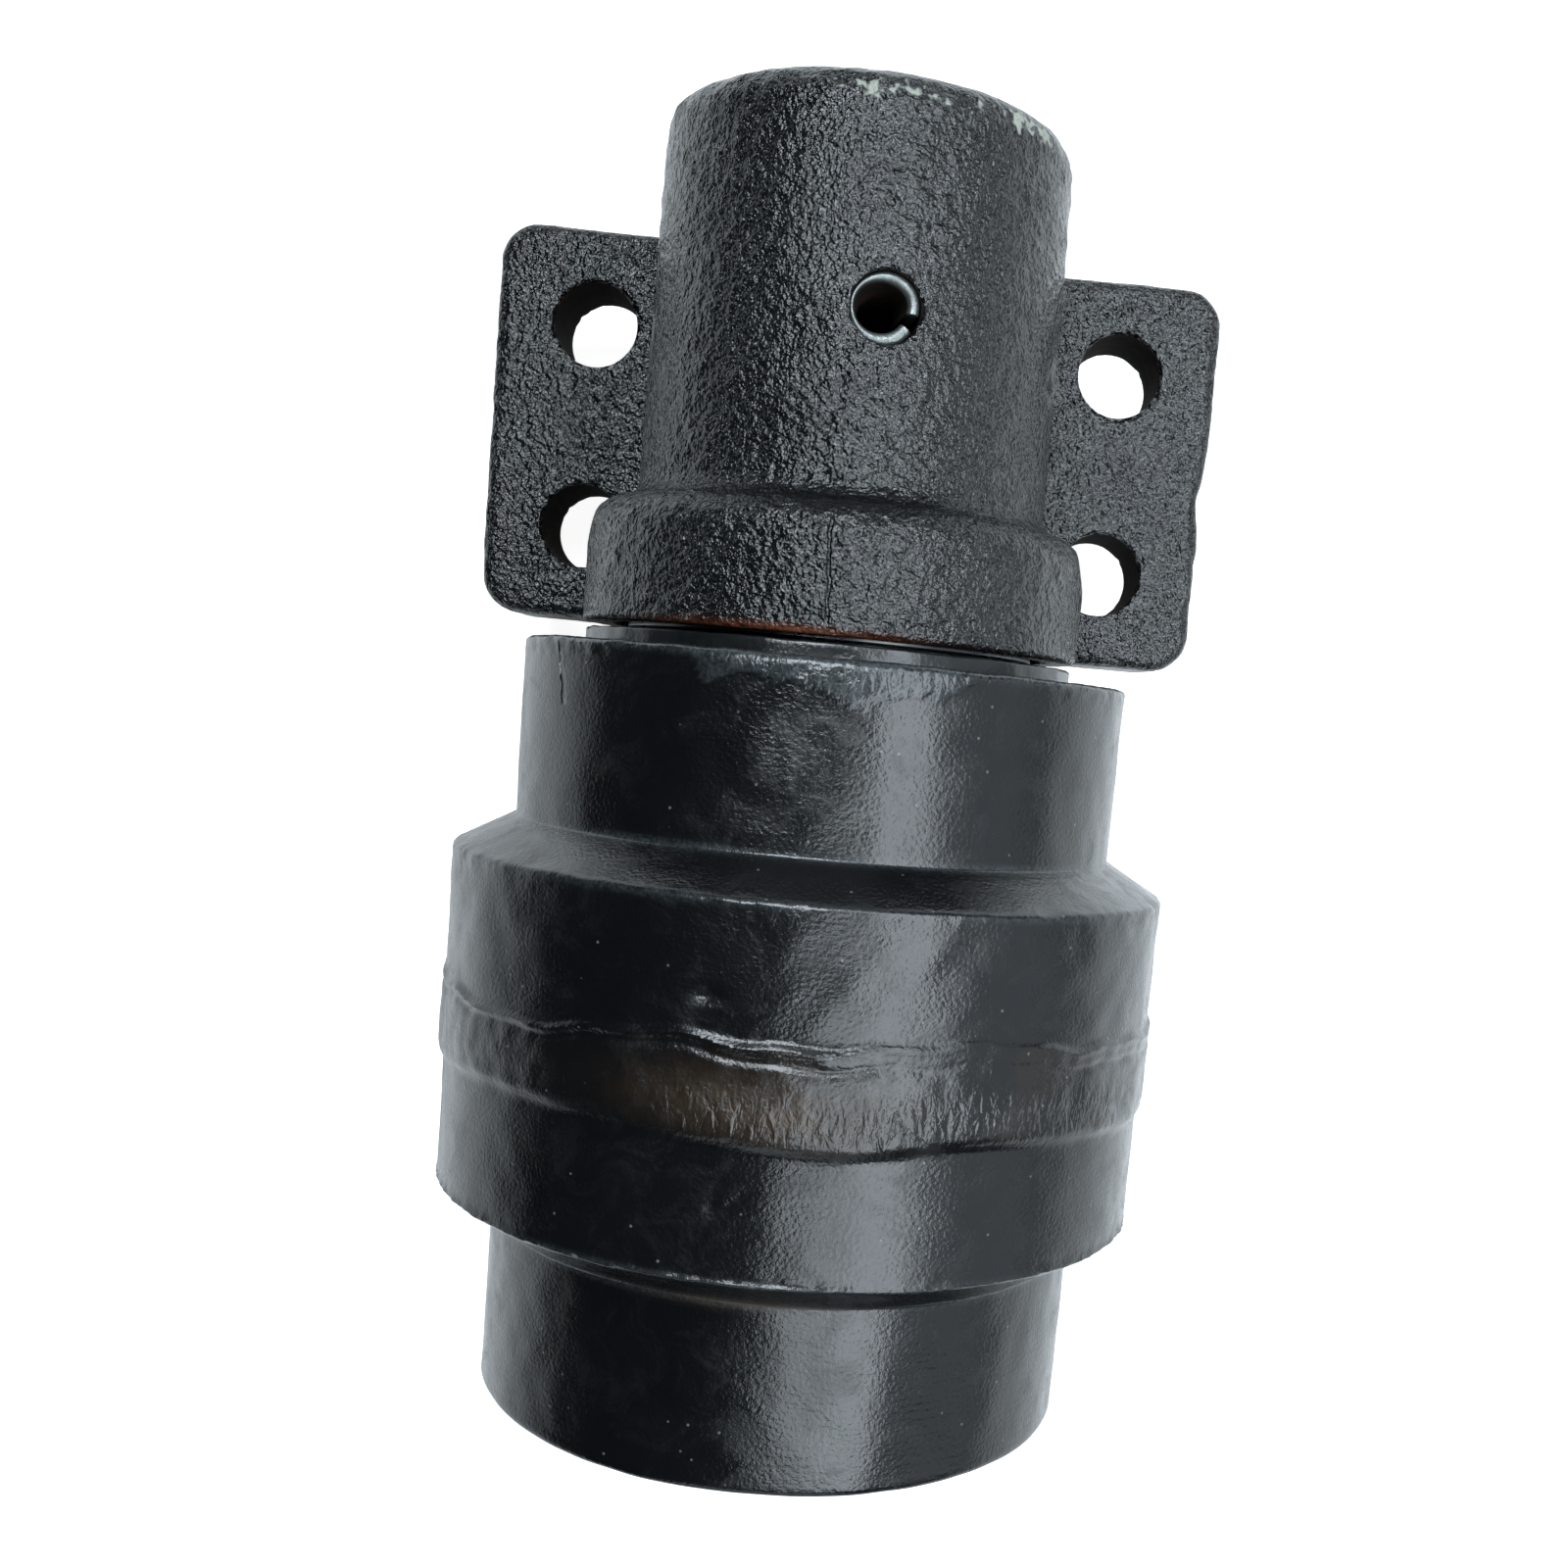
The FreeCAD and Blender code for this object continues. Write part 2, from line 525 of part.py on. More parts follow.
def filler_plug():
    """Socket-head oil plug."""
    seat = PLUG_SEAT_Y + PLUG_WASHER_T
    thread_r = PLUG_THREAD_R - PLUG_THREAD_FIT
    body = turned([
        (COVER_SEAT_Y - PLUG_STICK_OUT, 0, 0),
        (COVER_SEAT_Y - PLUG_STICK_OUT, thread_r, LARGE_EDGE_R),
        (seat, thread_r, 0),
        (seat, PLUG_HEAD_R, SMALL_EDGE_R),
        (seat + PLUG_HEAD_T, PLUG_HEAD_R, LARGE_EDGE_R),
        (seat + PLUG_HEAD_T, 0, 0),
    ])
    top = seat + PLUG_HEAD_T
    return body.cut(prism_y(PLUG_SOCKET_FLATS, top - PLUG_SOCKET_DEPTH, top + BEYOND, axis_point(0)))


def plug_washer():
    """Soft sealing washer under the plug head."""
    top = PLUG_SEAT_Y + PLUG_WASHER_T
    washer = cylinder_y(PLUG_HEAD_R, PLUG_SEAT_Y, top)
    return washer.cut(cylinder_y(PLUG_THREAD_R, PLUG_SEAT_Y - BEYOND, top + BEYOND))


PARTS = {
    "bracket": bracket(),
    "shaft": shaft(),
    "spring_pin": spring_pin(),
    "shaft_o_ring": shaft_o_ring(),
    "fixed_seal_ring": seal_ring(-1),
    "fixed_seal_toric": seal_toric(-1),
    "thrust_plate": thrust_plate(),
    "thrust_plate_bolts": thrust_plate_bolts(),
    "thrust_plate_lock_washers": lock_washers(),
    "roller_shell": roller_shell(),
    "seal_seat_ring": seal_seat_ring(),
    "inner_bushing": bushing(MOVING_HOUSING_Y, 1),
    "outer_bushing": bushing(OUTER_FLANGE_Y, -1),
    "rotating_seal_ring": seal_ring(1),
    "rotating_seal_toric": seal_toric(1),
    "end_cover": end_cover(),
    "cover_o_ring": cover_o_ring(),
    "cover_circlip": circlip(),
    "filler_plug": filler_plug(),
    "plug_washer": plug_washer(),
}

os.makedirs(FOLDER, exist_ok=True)
for name, shape in PARTS.items():
    shape.exportStep(os.path.join(FOLDER, name + ".step"))
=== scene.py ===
"""Looks of a carrier roller on its cast cantilever bracket.

Lengths are in millimetres until a mesh is made. +Y runs along the spin axis from the bracket to
the roller, +Z is up, and the origin is the middle of the bolt pattern on the plate's underside.
A turn about the spin axis is 0 at +Z and grows towards +X.
"""
import json
import logging
import math
from collections.abc import Callable, Mapping, Sequence
from dataclasses import dataclass
from enum import Enum
from functools import partial

import bpy
import numpy as np
from mathutils import Euler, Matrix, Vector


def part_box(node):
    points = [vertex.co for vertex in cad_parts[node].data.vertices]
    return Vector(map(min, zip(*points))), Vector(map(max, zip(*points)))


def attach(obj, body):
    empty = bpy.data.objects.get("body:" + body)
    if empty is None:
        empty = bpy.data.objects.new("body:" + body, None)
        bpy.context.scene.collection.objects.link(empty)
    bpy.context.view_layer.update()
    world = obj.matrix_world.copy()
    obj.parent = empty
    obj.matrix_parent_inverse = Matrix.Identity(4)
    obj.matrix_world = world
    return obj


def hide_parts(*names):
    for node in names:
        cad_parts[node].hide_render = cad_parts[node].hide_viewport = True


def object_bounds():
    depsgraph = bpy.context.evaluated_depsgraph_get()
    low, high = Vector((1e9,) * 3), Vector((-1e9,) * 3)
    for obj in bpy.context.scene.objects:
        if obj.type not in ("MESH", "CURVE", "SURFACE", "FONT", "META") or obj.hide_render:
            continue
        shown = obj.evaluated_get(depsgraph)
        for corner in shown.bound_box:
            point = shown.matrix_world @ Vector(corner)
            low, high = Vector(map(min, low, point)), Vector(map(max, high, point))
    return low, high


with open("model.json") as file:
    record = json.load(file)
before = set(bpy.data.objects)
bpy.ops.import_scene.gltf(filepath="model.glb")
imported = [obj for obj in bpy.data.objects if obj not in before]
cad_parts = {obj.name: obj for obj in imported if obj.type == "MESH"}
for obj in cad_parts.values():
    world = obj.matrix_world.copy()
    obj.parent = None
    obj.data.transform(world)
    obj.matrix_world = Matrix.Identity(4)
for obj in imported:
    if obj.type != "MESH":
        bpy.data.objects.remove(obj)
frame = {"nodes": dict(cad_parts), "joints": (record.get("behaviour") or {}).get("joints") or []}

CAD_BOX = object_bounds()
LOG = logging.getLogger("carrier_roller")
METRE = 1000.0
SPIN_HEIGHT = METRE * frame["joints"][0]["pos_m"][2]
ARC_STEP = 0.45          # length of a fillet's steps
FEWEST_ARC_STEPS = 4
NEWTON_STEPS = 4
TINY = 1e-9              # keeps a zero length from dividing
GROOVE_TONE = "#040404"  # the unlit bottom of a scored line
Field = Callable[[np.ndarray, np.ndarray, np.ndarray], np.ndarray]


class Body(Enum):
    """The two bodies that the spin joint joins."""

    FIXED = "bracket_and_shaft"
    SPINNING = "roller"


class Slot(Enum):
    """Names of material slots of the record."""

    BRACKET_PAINT = "bracket_paint"
    ROLLER_PAINT = "roller_paint"
    PIN_STEEL = "pin_steel"
    SEAT_RING_STEEL = "seat_ring_steel"


# ---- small tools ------------------------------------------------------------------------


def node_box(node: str) -> tuple[np.ndarray, np.ndarray]:
    """Lowest and highest corner of a CAD node, in millimetres."""
    low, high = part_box(node)
    return METRE * np.array(low), METRE * np.array(high)


def linear(code: str) -> tuple[float, float, float, float]:
    """Turns an sRGB hex colour to linear light.

    Args:
        code: six hex digits after a hash sign.

    Returns:
        Red, green, blue and full opacity.
    """
    shares = [int(code[place:place + 2], 16) / 255 for place in (1, 3, 5)]
    light = [s / 12.92 if s <= 0.04045 else ((s + 0.055) / 1.055) ** 2.4 for s in shares]
    return (*light, 1.0)


def per_metre(size_mm: float) -> float:
    """Noise scale whose features are about this many millimetres across."""
    return METRE / size_mm


def ramp(value: np.ndarray, start: float, end: float) -> np.ndarray:
    """Smooth step: 0 at start, 1 at end, with 3t² − 2t³ between."""
    share = np.clip((value - start) / (end - start), 0.0, 1.0)
    return share * share * (3.0 - 2.0 * share)


def hump(value: np.ndarray, centre: float, width: float) -> np.ndarray:
    """Bell curve exp(−((value − centre) / width)²)."""
    return np.exp(-(((value - centre) / width) ** 2))


def add_node(
    tree: bpy.types.NodeTree,
    kind: str,
    inputs: Mapping[str | int, object] | None = None,
    **settings: object,
) -> bpy.types.Node:
    """Adds a node with its settings and links.

    Args:
        tree: node tree that gets the node.
        kind: Blender's name of the node type, less its ShaderNode start.
        inputs: value, output socket, or node whose Fac or first used output is linked, for each
            input by name or number.
        settings: the node's own properties.

    Returns:
        The new node.
    """
    node = tree.nodes.new("ShaderNode" + kind)
    for name, value in settings.items():
        setattr(node, name, value)
    for key, value in (inputs or {}).items():
        if isinstance(value, bpy.types.Node):
            used = [socket for socket in value.outputs if socket.enabled]
            value = value.outputs.get("Fac") or used[0]
        if isinstance(value, bpy.types.NodeSocket):
            tree.links.new(value, node.inputs[key])
        else:
            node.inputs[key].default_value = value
    return node


@dataclass(frozen=True)
class Score:
    """Narrow groove seen from above: its two ends as x and y, its width and its wander."""

    start: tuple[float, float]
    end: tuple[float, float]
    width: float
    wander: float = 0.3

    def lay(self, tree: bpy.types.NodeTree, place: bpy.types.NodeSocket) -> bpy.types.NodeSocket:
        """Lays nodes that give 1 on the groove and 0 off it and below the spin axis.

        The place is turned into the groove's own axes: along it, across it and up.

        Args:
            tree: node tree that gets the nodes.
            place: object coordinates.

        Returns:
            Socket with the groove's share.
        """
        add = partial(add_node, tree)
        run = (self.end[0] - self.start[0], self.end[1] - self.start[1])
        half = math.hypot(*run) / 2.0 / METRE
        middle = [(a + b) / 2.0 / METRE for a, b in zip(self.start, self.end)]
        own = add("Mapping", {
            "Vector": place, "Location": (*middle, SPIN_HEIGHT / METRE),
            "Rotation": (0.0, 0.0, math.atan2(run[1], run[0])),
        }, vector_type="TEXTURE")
        parts = add("SeparateXYZ", {"Vector": own})
        noise = add("TexNoise", {"Vector": place, "Scale": per_metre(3.5)})
        reach = self.wander / METRE
        drift = add("MapRange", {"Value": noise, 1: 0.3, 2: 0.7, 3: -reach, 4: reach})
        moved = add("Math", {0: parts.outputs["Y"], 1: drift}, operation="ADD")
        across = add("Math", {0: moved}, operation="ABSOLUTE")
        along = add("Math", {0: parts.outputs["X"]}, operation="ABSOLUTE")
        line = add("MapRange", {
            "Value": across, 1: 0.2 * self.width / METRE, 2: 0.6 * self.width / METRE, 3: 1.0,
            4: 0.0,
        })
        ends = add("MapRange", {"Value": along, 1: 0.75 * half, 2: half, 3: 1.0, 4: 0.0})
        above = add("Math", {0: parts.outputs["Z"], 1: 0.0}, operation="GREATER_THAN")
        short = add("Math", {0: line, 1: ends}, operation="MULTIPLY")
        return add("Math", {0: short, 1: above}, operation="MULTIPLY").outputs[0]


def deepest(
    tree: bpy.types.NodeTree, place: bpy.types.NodeSocket, scores: Sequence[Score]
) -> bpy.types.NodeSocket:
    """Greatest share of several grooves at each place.

    Args:
        tree: node tree that gets the nodes.
        place: object coordinates.
        scores: the grooves, one or more.

    Returns:
        Socket with the greatest share.
    """
    add = partial(add_node, tree)
    share = scores[0].lay(tree, place)
    for score in scores[1:]:
        other = score.lay(tree, place)
        share = add("Math", {0: share, 1: other}, operation="MAXIMUM").outputs[0]
    return share


@dataclass(frozen=True)
class Waves:
    """Smooth relief of even grain: a band of random plane waves, with no lattice to show."""

    length: float
    seed: int
    spread: float = 0.3
    count: int = 48
    stretch: tuple[float, float, float] = (1.0, 1.0, 1.0)

    def at(self, points: np.ndarray) -> np.ndarray:
        """Sum of cosines, each with its own direction, phase and length, scaled to unit variance.

        Args:
            points: array of places in millimetres, with x, y, z last.

        Returns:
            One height for each place.
        """
        dice = np.random.default_rng(self.seed)
        way = dice.normal(size=(self.count, 3))
        way /= np.linalg.norm(way, axis=1, keepdims=True)
        length = self.length * np.exp(dice.normal(0.0, self.spread, self.count))
        way *= (2.0 * np.pi / length)[:, None] / np.array(self.stretch)
        phase = dice.uniform(0.0, 2.0 * np.pi, self.count)
        flat = points.reshape(-1, 3)
        total = np.zeros(len(flat))
        for direction, shift in zip(way, phase):
            total += np.cos(flat @ direction + shift)
        return (total * math.sqrt(2.0 / self.count)).reshape(points.shape[:-1])


def make_piece(
    name: str,
    points: np.ndarray,
    faces: Sequence[Sequence[int]],
    sharp_degrees: float = 40.0,
    marks: Mapping[str, np.ndarray] | None = None,
    finish_of_face: np.ndarray | None = None,
) -> bpy.types.Object:
    """Puts a worked-out surface into a mesh object at the origin.

    The signed volume, a third of the sum of face area vectors dotted with face places, is made
    positive by turning the faces over where needed, so that they point outwards.

    Args:
        name: the piece's name.
        points: rows of x, y, z in millimetres.
        faces: corner numbers of each face.
        sharp_degrees: edges that turn by more than this are shaded sharp.
        marks: one number per point for each named attribute.
        finish_of_face: number of each face's finish, where the piece has more than one.

    Returns:
        The new object.
    """
    mesh = bpy.data.meshes.new(name)
    mesh.from_pydata(points / METRE, [], faces)
    mesh.update(calc_edges=True)
    count = len(mesh.polygons)
    centre = np.empty(3 * count)
    normal = np.empty(3 * count)
    area = np.empty(count)
    mesh.polygons.foreach_get("center", centre)
    mesh.polygons.foreach_get("normal", normal)
    mesh.polygons.foreach_get("area", area)
    if float(np.sum(np.sum(centre.reshape(-1, 3) * normal.reshape(-1, 3), axis=1) * area)) < 0.0:
        mesh.flip_normals()
    for mark, values in (marks or {}).items():
        attribute = mesh.attributes.new(mark, "FLOAT", "POINT")
        attribute.data.foreach_set("value", values.astype(np.float32))
    if finish_of_face is not None:
        finish = mesh.attributes.new("finish", "INT", "FACE")
        finish.data.foreach_set("value", finish_of_face.astype(np.int32))
    mesh.shade_smooth()
    mesh.set_sharp_from_angle(angle=math.radians(sharp_degrees))
    piece = bpy.data.objects.new(name, mesh)
    bpy.context.scene.collection.objects.link(piece)
    return piece


def place_piece(
    piece: bpy.types.Object,
    body: Body,
    materials: Sequence[bpy.types.Material],
    stands_for: Sequence[str] = (),
) -> None:
    """Gives a piece its materials and body, and hides the CAD nodes it stands for.

    Args:
        piece: the finished object.
        body: body that it moves with.
        materials: its finishes, in the order of its faces' finish numbers.
        stands_for: CAD nodes that aren't shown any more.
    """
    piece.data.materials.clear()
    for material in materials:
        piece.data.materials.append(material)
    if "finish" in piece.data.attributes:
        chosen = np.zeros(len(piece.data.polygons), dtype=np.int32)
        piece.data.attributes["finish"].data.foreach_get("value", chosen)
        piece.data.polygons.foreach_set("material_index", chosen)
    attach(piece, body.value)
    if stands_for:
        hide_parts(*stands_for)
    LOG.info("%s: %d faces on %s", piece.name, len(piece.data.polygons), body.value)


def dress_node(node: str, material: bpy.types.Material) -> None:
    """Gives a CAD node that stays in view its material.

    Args:
        node: the node's name.
        material: its finish.
    """
    shown = frame["nodes"][node]
    shown.data.materials.clear()
    shown.data.materials.append(material)
    LOG.info("%s: dressed with %s", node, material.name)


@dataclass(frozen=True)
class Corner:
    """Corner of a turned profile, and how close the rows stand on the line that follows it."""

    y: float
    r: float
    fillet: float = 0.0
    step: float = 8.0


def turned_rows(corners: Sequence[Corner], closed: bool = True) -> np.ndarray:
    """Rows of a turned profile with its corners rounded.

    Each fillet is the circle arc that touches both lines; each line is cut into equal steps.

    Args:
        corners: the profile's corners in order.
        closed: the last corner joins the first.

    Returns:
        Rows of y and radius.
    """
    places = np.array([(c.y, c.r) for c in corners])
    count = len(corners)
    entries: list[np.ndarray] = []
    exits: list[np.ndarray] = []
    arcs: list[np.ndarray] = []
    for index, corner in enumerate(corners):
        here = places[index]
        if corner.fillet <= 0.0:
            entries.append(here)
            exits.append(here)
            arcs.append(here[None, :])
            continue
        back = places[index - 1] - here
        ahead = places[(index + 1) % count] - here
        back = back / np.linalg.norm(back)
        ahead = ahead / np.linalg.norm(ahead)
        half = math.acos(float(np.clip(back @ ahead, -1.0, 1.0))) / 2.0
        middle = (back + ahead) / np.linalg.norm(back + ahead)
        centre = here + middle * corner.fillet / math.sin(half)
        entry = here + back * corner.fillet / math.tan(half)
        leave = here + ahead * corner.fillet / math.tan(half)
        sweep = math.pi - 2.0 * half
        parts = max(FEWEST_ARC_STEPS, int(round(sweep * corner.fillet / ARC_STEP)))
        shares = np.linspace(0.0, 1.0, parts + 1)[:, None]
        from_entry = np.sin((1.0 - shares) * sweep) * (entry - centre)
        from_leave = np.sin(shares * sweep) * (leave - centre)
        blend = (from_entry + from_leave) / math.sin(sweep)
        entries.append(entry)
        exits.append(leave)
        arcs.append(centre + blend)
    rows: list[np.ndarray] = []
    for index, corner in enumerate(corners):
        rows.append(arcs[index])
        if index == count - 1 and not closed:
            break
        target = entries[(index + 1) % count]
        span = target - exits[index]
        parts = max(1, int(round(float(np.linalg.norm(span)) / corner.step)))
        shares = (np.arange(1, parts) / parts)[:, None]
        rows.append(exits[index] + shares * span)
    return np.concatenate(rows)


def revolve(rows: np.ndarray, columns: int) -> tuple[np.ndarray, np.ndarray, np.ndarray]:
    """Carries a profile about the spin axis.

    Point (row, turn) is x = r sin(turn), y = y, z = spin height + r cos(turn).

    Args:
        rows: y and radius of each row.
        columns: places around the axis.

    Returns:
        Points as (rows, columns, 3), each point's turn, and each point's unit normal, which is
        the profile's tangent turned by a right angle and carried round.
    """
    turn = np.linspace(0.0, 2.0 * np.pi, columns, endpoint=False)[None, :]
    y = rows[:, :1]
    r = rows[:, 1:2]
    flat = np.zeros_like(turn)
    points = np.stack([r * np.sin(turn), y + flat, SPIN_HEIGHT + r * np.cos(turn)], axis=-1)
    tangent = np.roll(rows, -1, axis=0) - np.roll(rows, 1, axis=0)
    tangent /= np.maximum(np.linalg.norm(tangent, axis=1, keepdims=True), TINY)
    along = -tangent[:, 1:2]
    outward = tangent[:, :1]
    normals = np.stack([outward * np.sin(turn), along + flat, outward * np.cos(turn)], axis=-1)
    return points, turn + np.zeros_like(r), normals


def woven_faces(
    rows: int, columns: int, close_rows: bool, close_columns: bool = True
) -> np.ndarray:
    """Quads of a grid: each joins (i, j), (i, j + 1), (i + 1, j + 1) and (i + 1, j).

    Args:
        rows: grid rows.
        columns: grid columns.
        close_rows: the last row joins the first.
        close_columns: the last column joins the first.

    Returns:
        Corner numbers, four to a face.
    """
    i = np.arange(rows if close_rows else rows - 1)[:, None]
    j = np.arange(columns if close_columns else columns - 1)[None, :]
    down = (i + 1) % rows
    across = (j + 1) % columns
    corners = [i * columns + j, i * columns + across, down * columns + across, down * columns + j]
    return np.stack([c + 0 * i + 0 * j for c in corners], axis=-1).reshape(-1, 4)


def make_turned(
    name: str,
    points: np.ndarray,
    sharp_degrees: float,
    marks: Mapping[str, np.ndarray] | None = None,
) -> bpy.types.Object:
    """Makes a closed ring of a profile that was carried round, and of its marks.

    Args:
        name: the piece's name.
        points: places as (rows, columns, 3), in millimetres.
        sharp_degrees: edges that turn by more than this are shaded sharp.
        marks: one number per place for each named attribute, as (rows, columns).

    Returns:
        The new object.
    """
    faces = woven_faces(*points.shape[:2], True).tolist()
    flat = {mark: values.reshape(-1) for mark, values in (marks or {}).items()}
    return make_piece(name, points.reshape(-1, 3), faces, sharp_degrees, flat)


def round_union(a: np.ndarray, b: np.ndarray, radius: float) -> np.ndarray:
    """Union of two distances with a fillet: r − |(r − a, r − b)| inside its corner."""
    return np.maximum(radius, np.minimum(a, b)) - np.hypot(
        np.maximum(radius - a, 0.0), np.maximum(radius - b, 0.0)
    )


def round_common(a: np.ndarray, b: np.ndarray, radius: float) -> np.ndarray:
    """Intersection of two distances with a rounded edge: |(r + a, r + b)| − r at the edge."""
    return np.minimum(-radius, np.maximum(a, b)) + np.hypot(
        np.maximum(radius + a, 0.0), np.maximum(radius + b, 0.0)
    )


def slope_of(field: Field, points: np.ndarray, reach: float = 0.05) -> np.ndarray:
    """Gradient of a distance field by central differences over twice the reach.

    Args:
        field: signed distance.
        points: rows of x, y, z in millimetres.
        reach: half the distance between the two places that are compared.

    Returns:
        One gradient for each row.
    """
    columns = []
    for axis in range(3):
        shift = np.zeros(3)
        shift[axis] = reach
        ahead = field(*(points + shift).T)
        behind = field(*(points - shift).T)
        columns.append((ahead - behind) / (2.0 * reach))
    return np.stack(columns, axis=1)


def surface_net(
    field: Field, axes: tuple[np.ndarray, np.ndarray, np.ndarray]
) -> tuple[np.ndarray, np.ndarray]:
    """Skin of a distance field on a box grid.

    Each cell that the zero level crosses gets one point, the mean of the crossings of its
    edges; each crossed grid edge gets one quad between the four cells around it. Newton steps,
    −value · slope / |slope|², then settle the points on the level.

    Args:
        field: signed distance, below zero inside.
        axes: grid places along x, y and z.

    Returns:
        Points and quads.
    """
    value = field(*np.meshgrid(*axes, indexing="ij"))
    inside = value < 0.0
    cells = tuple(size - 1 for size in value.shape)
    offsets = [(i, j, k) for i in (0, 1) for j in (0, 1) for k in (0, 1)]
    filled = sum(
        inside[i:i + cells[0], j:j + cells[1], k:k + cells[2]].astype(np.int8)
        for i, j, k in offsets
    )
    mixed = (filled > 0) & (filled < 8)
    number = np.full(cells, -1)
    number[mixed] = np.arange(int(mixed.sum()))
    base = np.stack(np.nonzero(mixed))
    total = np.zeros((base.shape[1], 3))
    hits = np.zeros(base.shape[1])
    for start in offsets:
        for axis in range(3):
            if start[axis]:
                continue
            end = tuple(o + (n == axis) for n, o in enumerate(start))
            at_start = [base[n] + start[n] for n in range(3)]
            at_end = [base[n] + end[n] for n in range(3)]
            first = value[tuple(at_start)]
            second = value[tuple(at_end)]
            crossed = (first < 0.0) != (second < 0.0)
            share = np.where(crossed, first / np.where(crossed, first - second, 1.0), 0.0)
            low = np.stack([axes[n][at_start[n]] for n in range(3)], axis=1)
            high = np.stack([axes[n][at_end[n]] for n in range(3)], axis=1)
            total += np.where(crossed[:, None], low + share[:, None] * (high - low), 0.0)
            hits += crossed
    points = total / hits[:, None]
    faces = []
    for axis in range(3):
        second, third = (axis + 1) % 3, (axis + 2) % 3
        low = np.take(inside, range(inside.shape[axis] - 1), axis=axis)
        high = np.take(inside, range(1, inside.shape[axis]), axis=axis)
        place = np.stack(np.nonzero(low != high))
        inner = (place[second] > 0) & (place[third] > 0)
        inner &= (place[second] < cells[second]) & (place[third] < cells[third])
        place = place[:, inner]
        ring = []
        for back_second, back_third in ((1, 1), (0, 1), (0, 0), (1, 0)):
            cell = place.copy()
            cell[second] -= back_second
            cell[third] -= back_third
            ring.append(number[tuple(cell)])
        quads = np.stack(ring, axis=1)
        outward = low[tuple(place)]
        faces.append(np.where(outward[:, None], quads, quads[:, ::-1]))
    least_slope, longest_step = 0.2, 0.4
    for _ in range(NEWTON_STEPS):
        slope = slope_of(field, points)
        steep = np.maximum(np.sum(slope * slope, axis=1), least_slope)
        step = np.clip(field(*points.T) / steep, -longest_step, longest_step)
        points -= step[:, None] * slope
    return points, np.concatenate(faces)


# ---- finishes ---------------------------------------------------------------------------


@dataclass(frozen=True)
class Finish:
    """Base of every finish: a named material with one Principled shader."""

    name: str

    def material(self) -> bpy.types.Material:
        """Builds the material.

        Returns:
            A new material with its nodes linked.
        """
        made = bpy.data.materials.new(self.name)
        made.use_nodes = True
        made.node_tree.nodes.clear()
        output = add_node(made.node_tree, "OutputMaterial")
        shader = self.lay(made.node_tree)
        made.node_tree.links.new(shader.outputs[0], output.inputs["Surface"])
        return made

    def lay(self, tree: bpy.types.NodeTree) -> bpy.types.Node:
        """Lays the finish's own nodes and returns its shader."""
        raise NotImplementedError


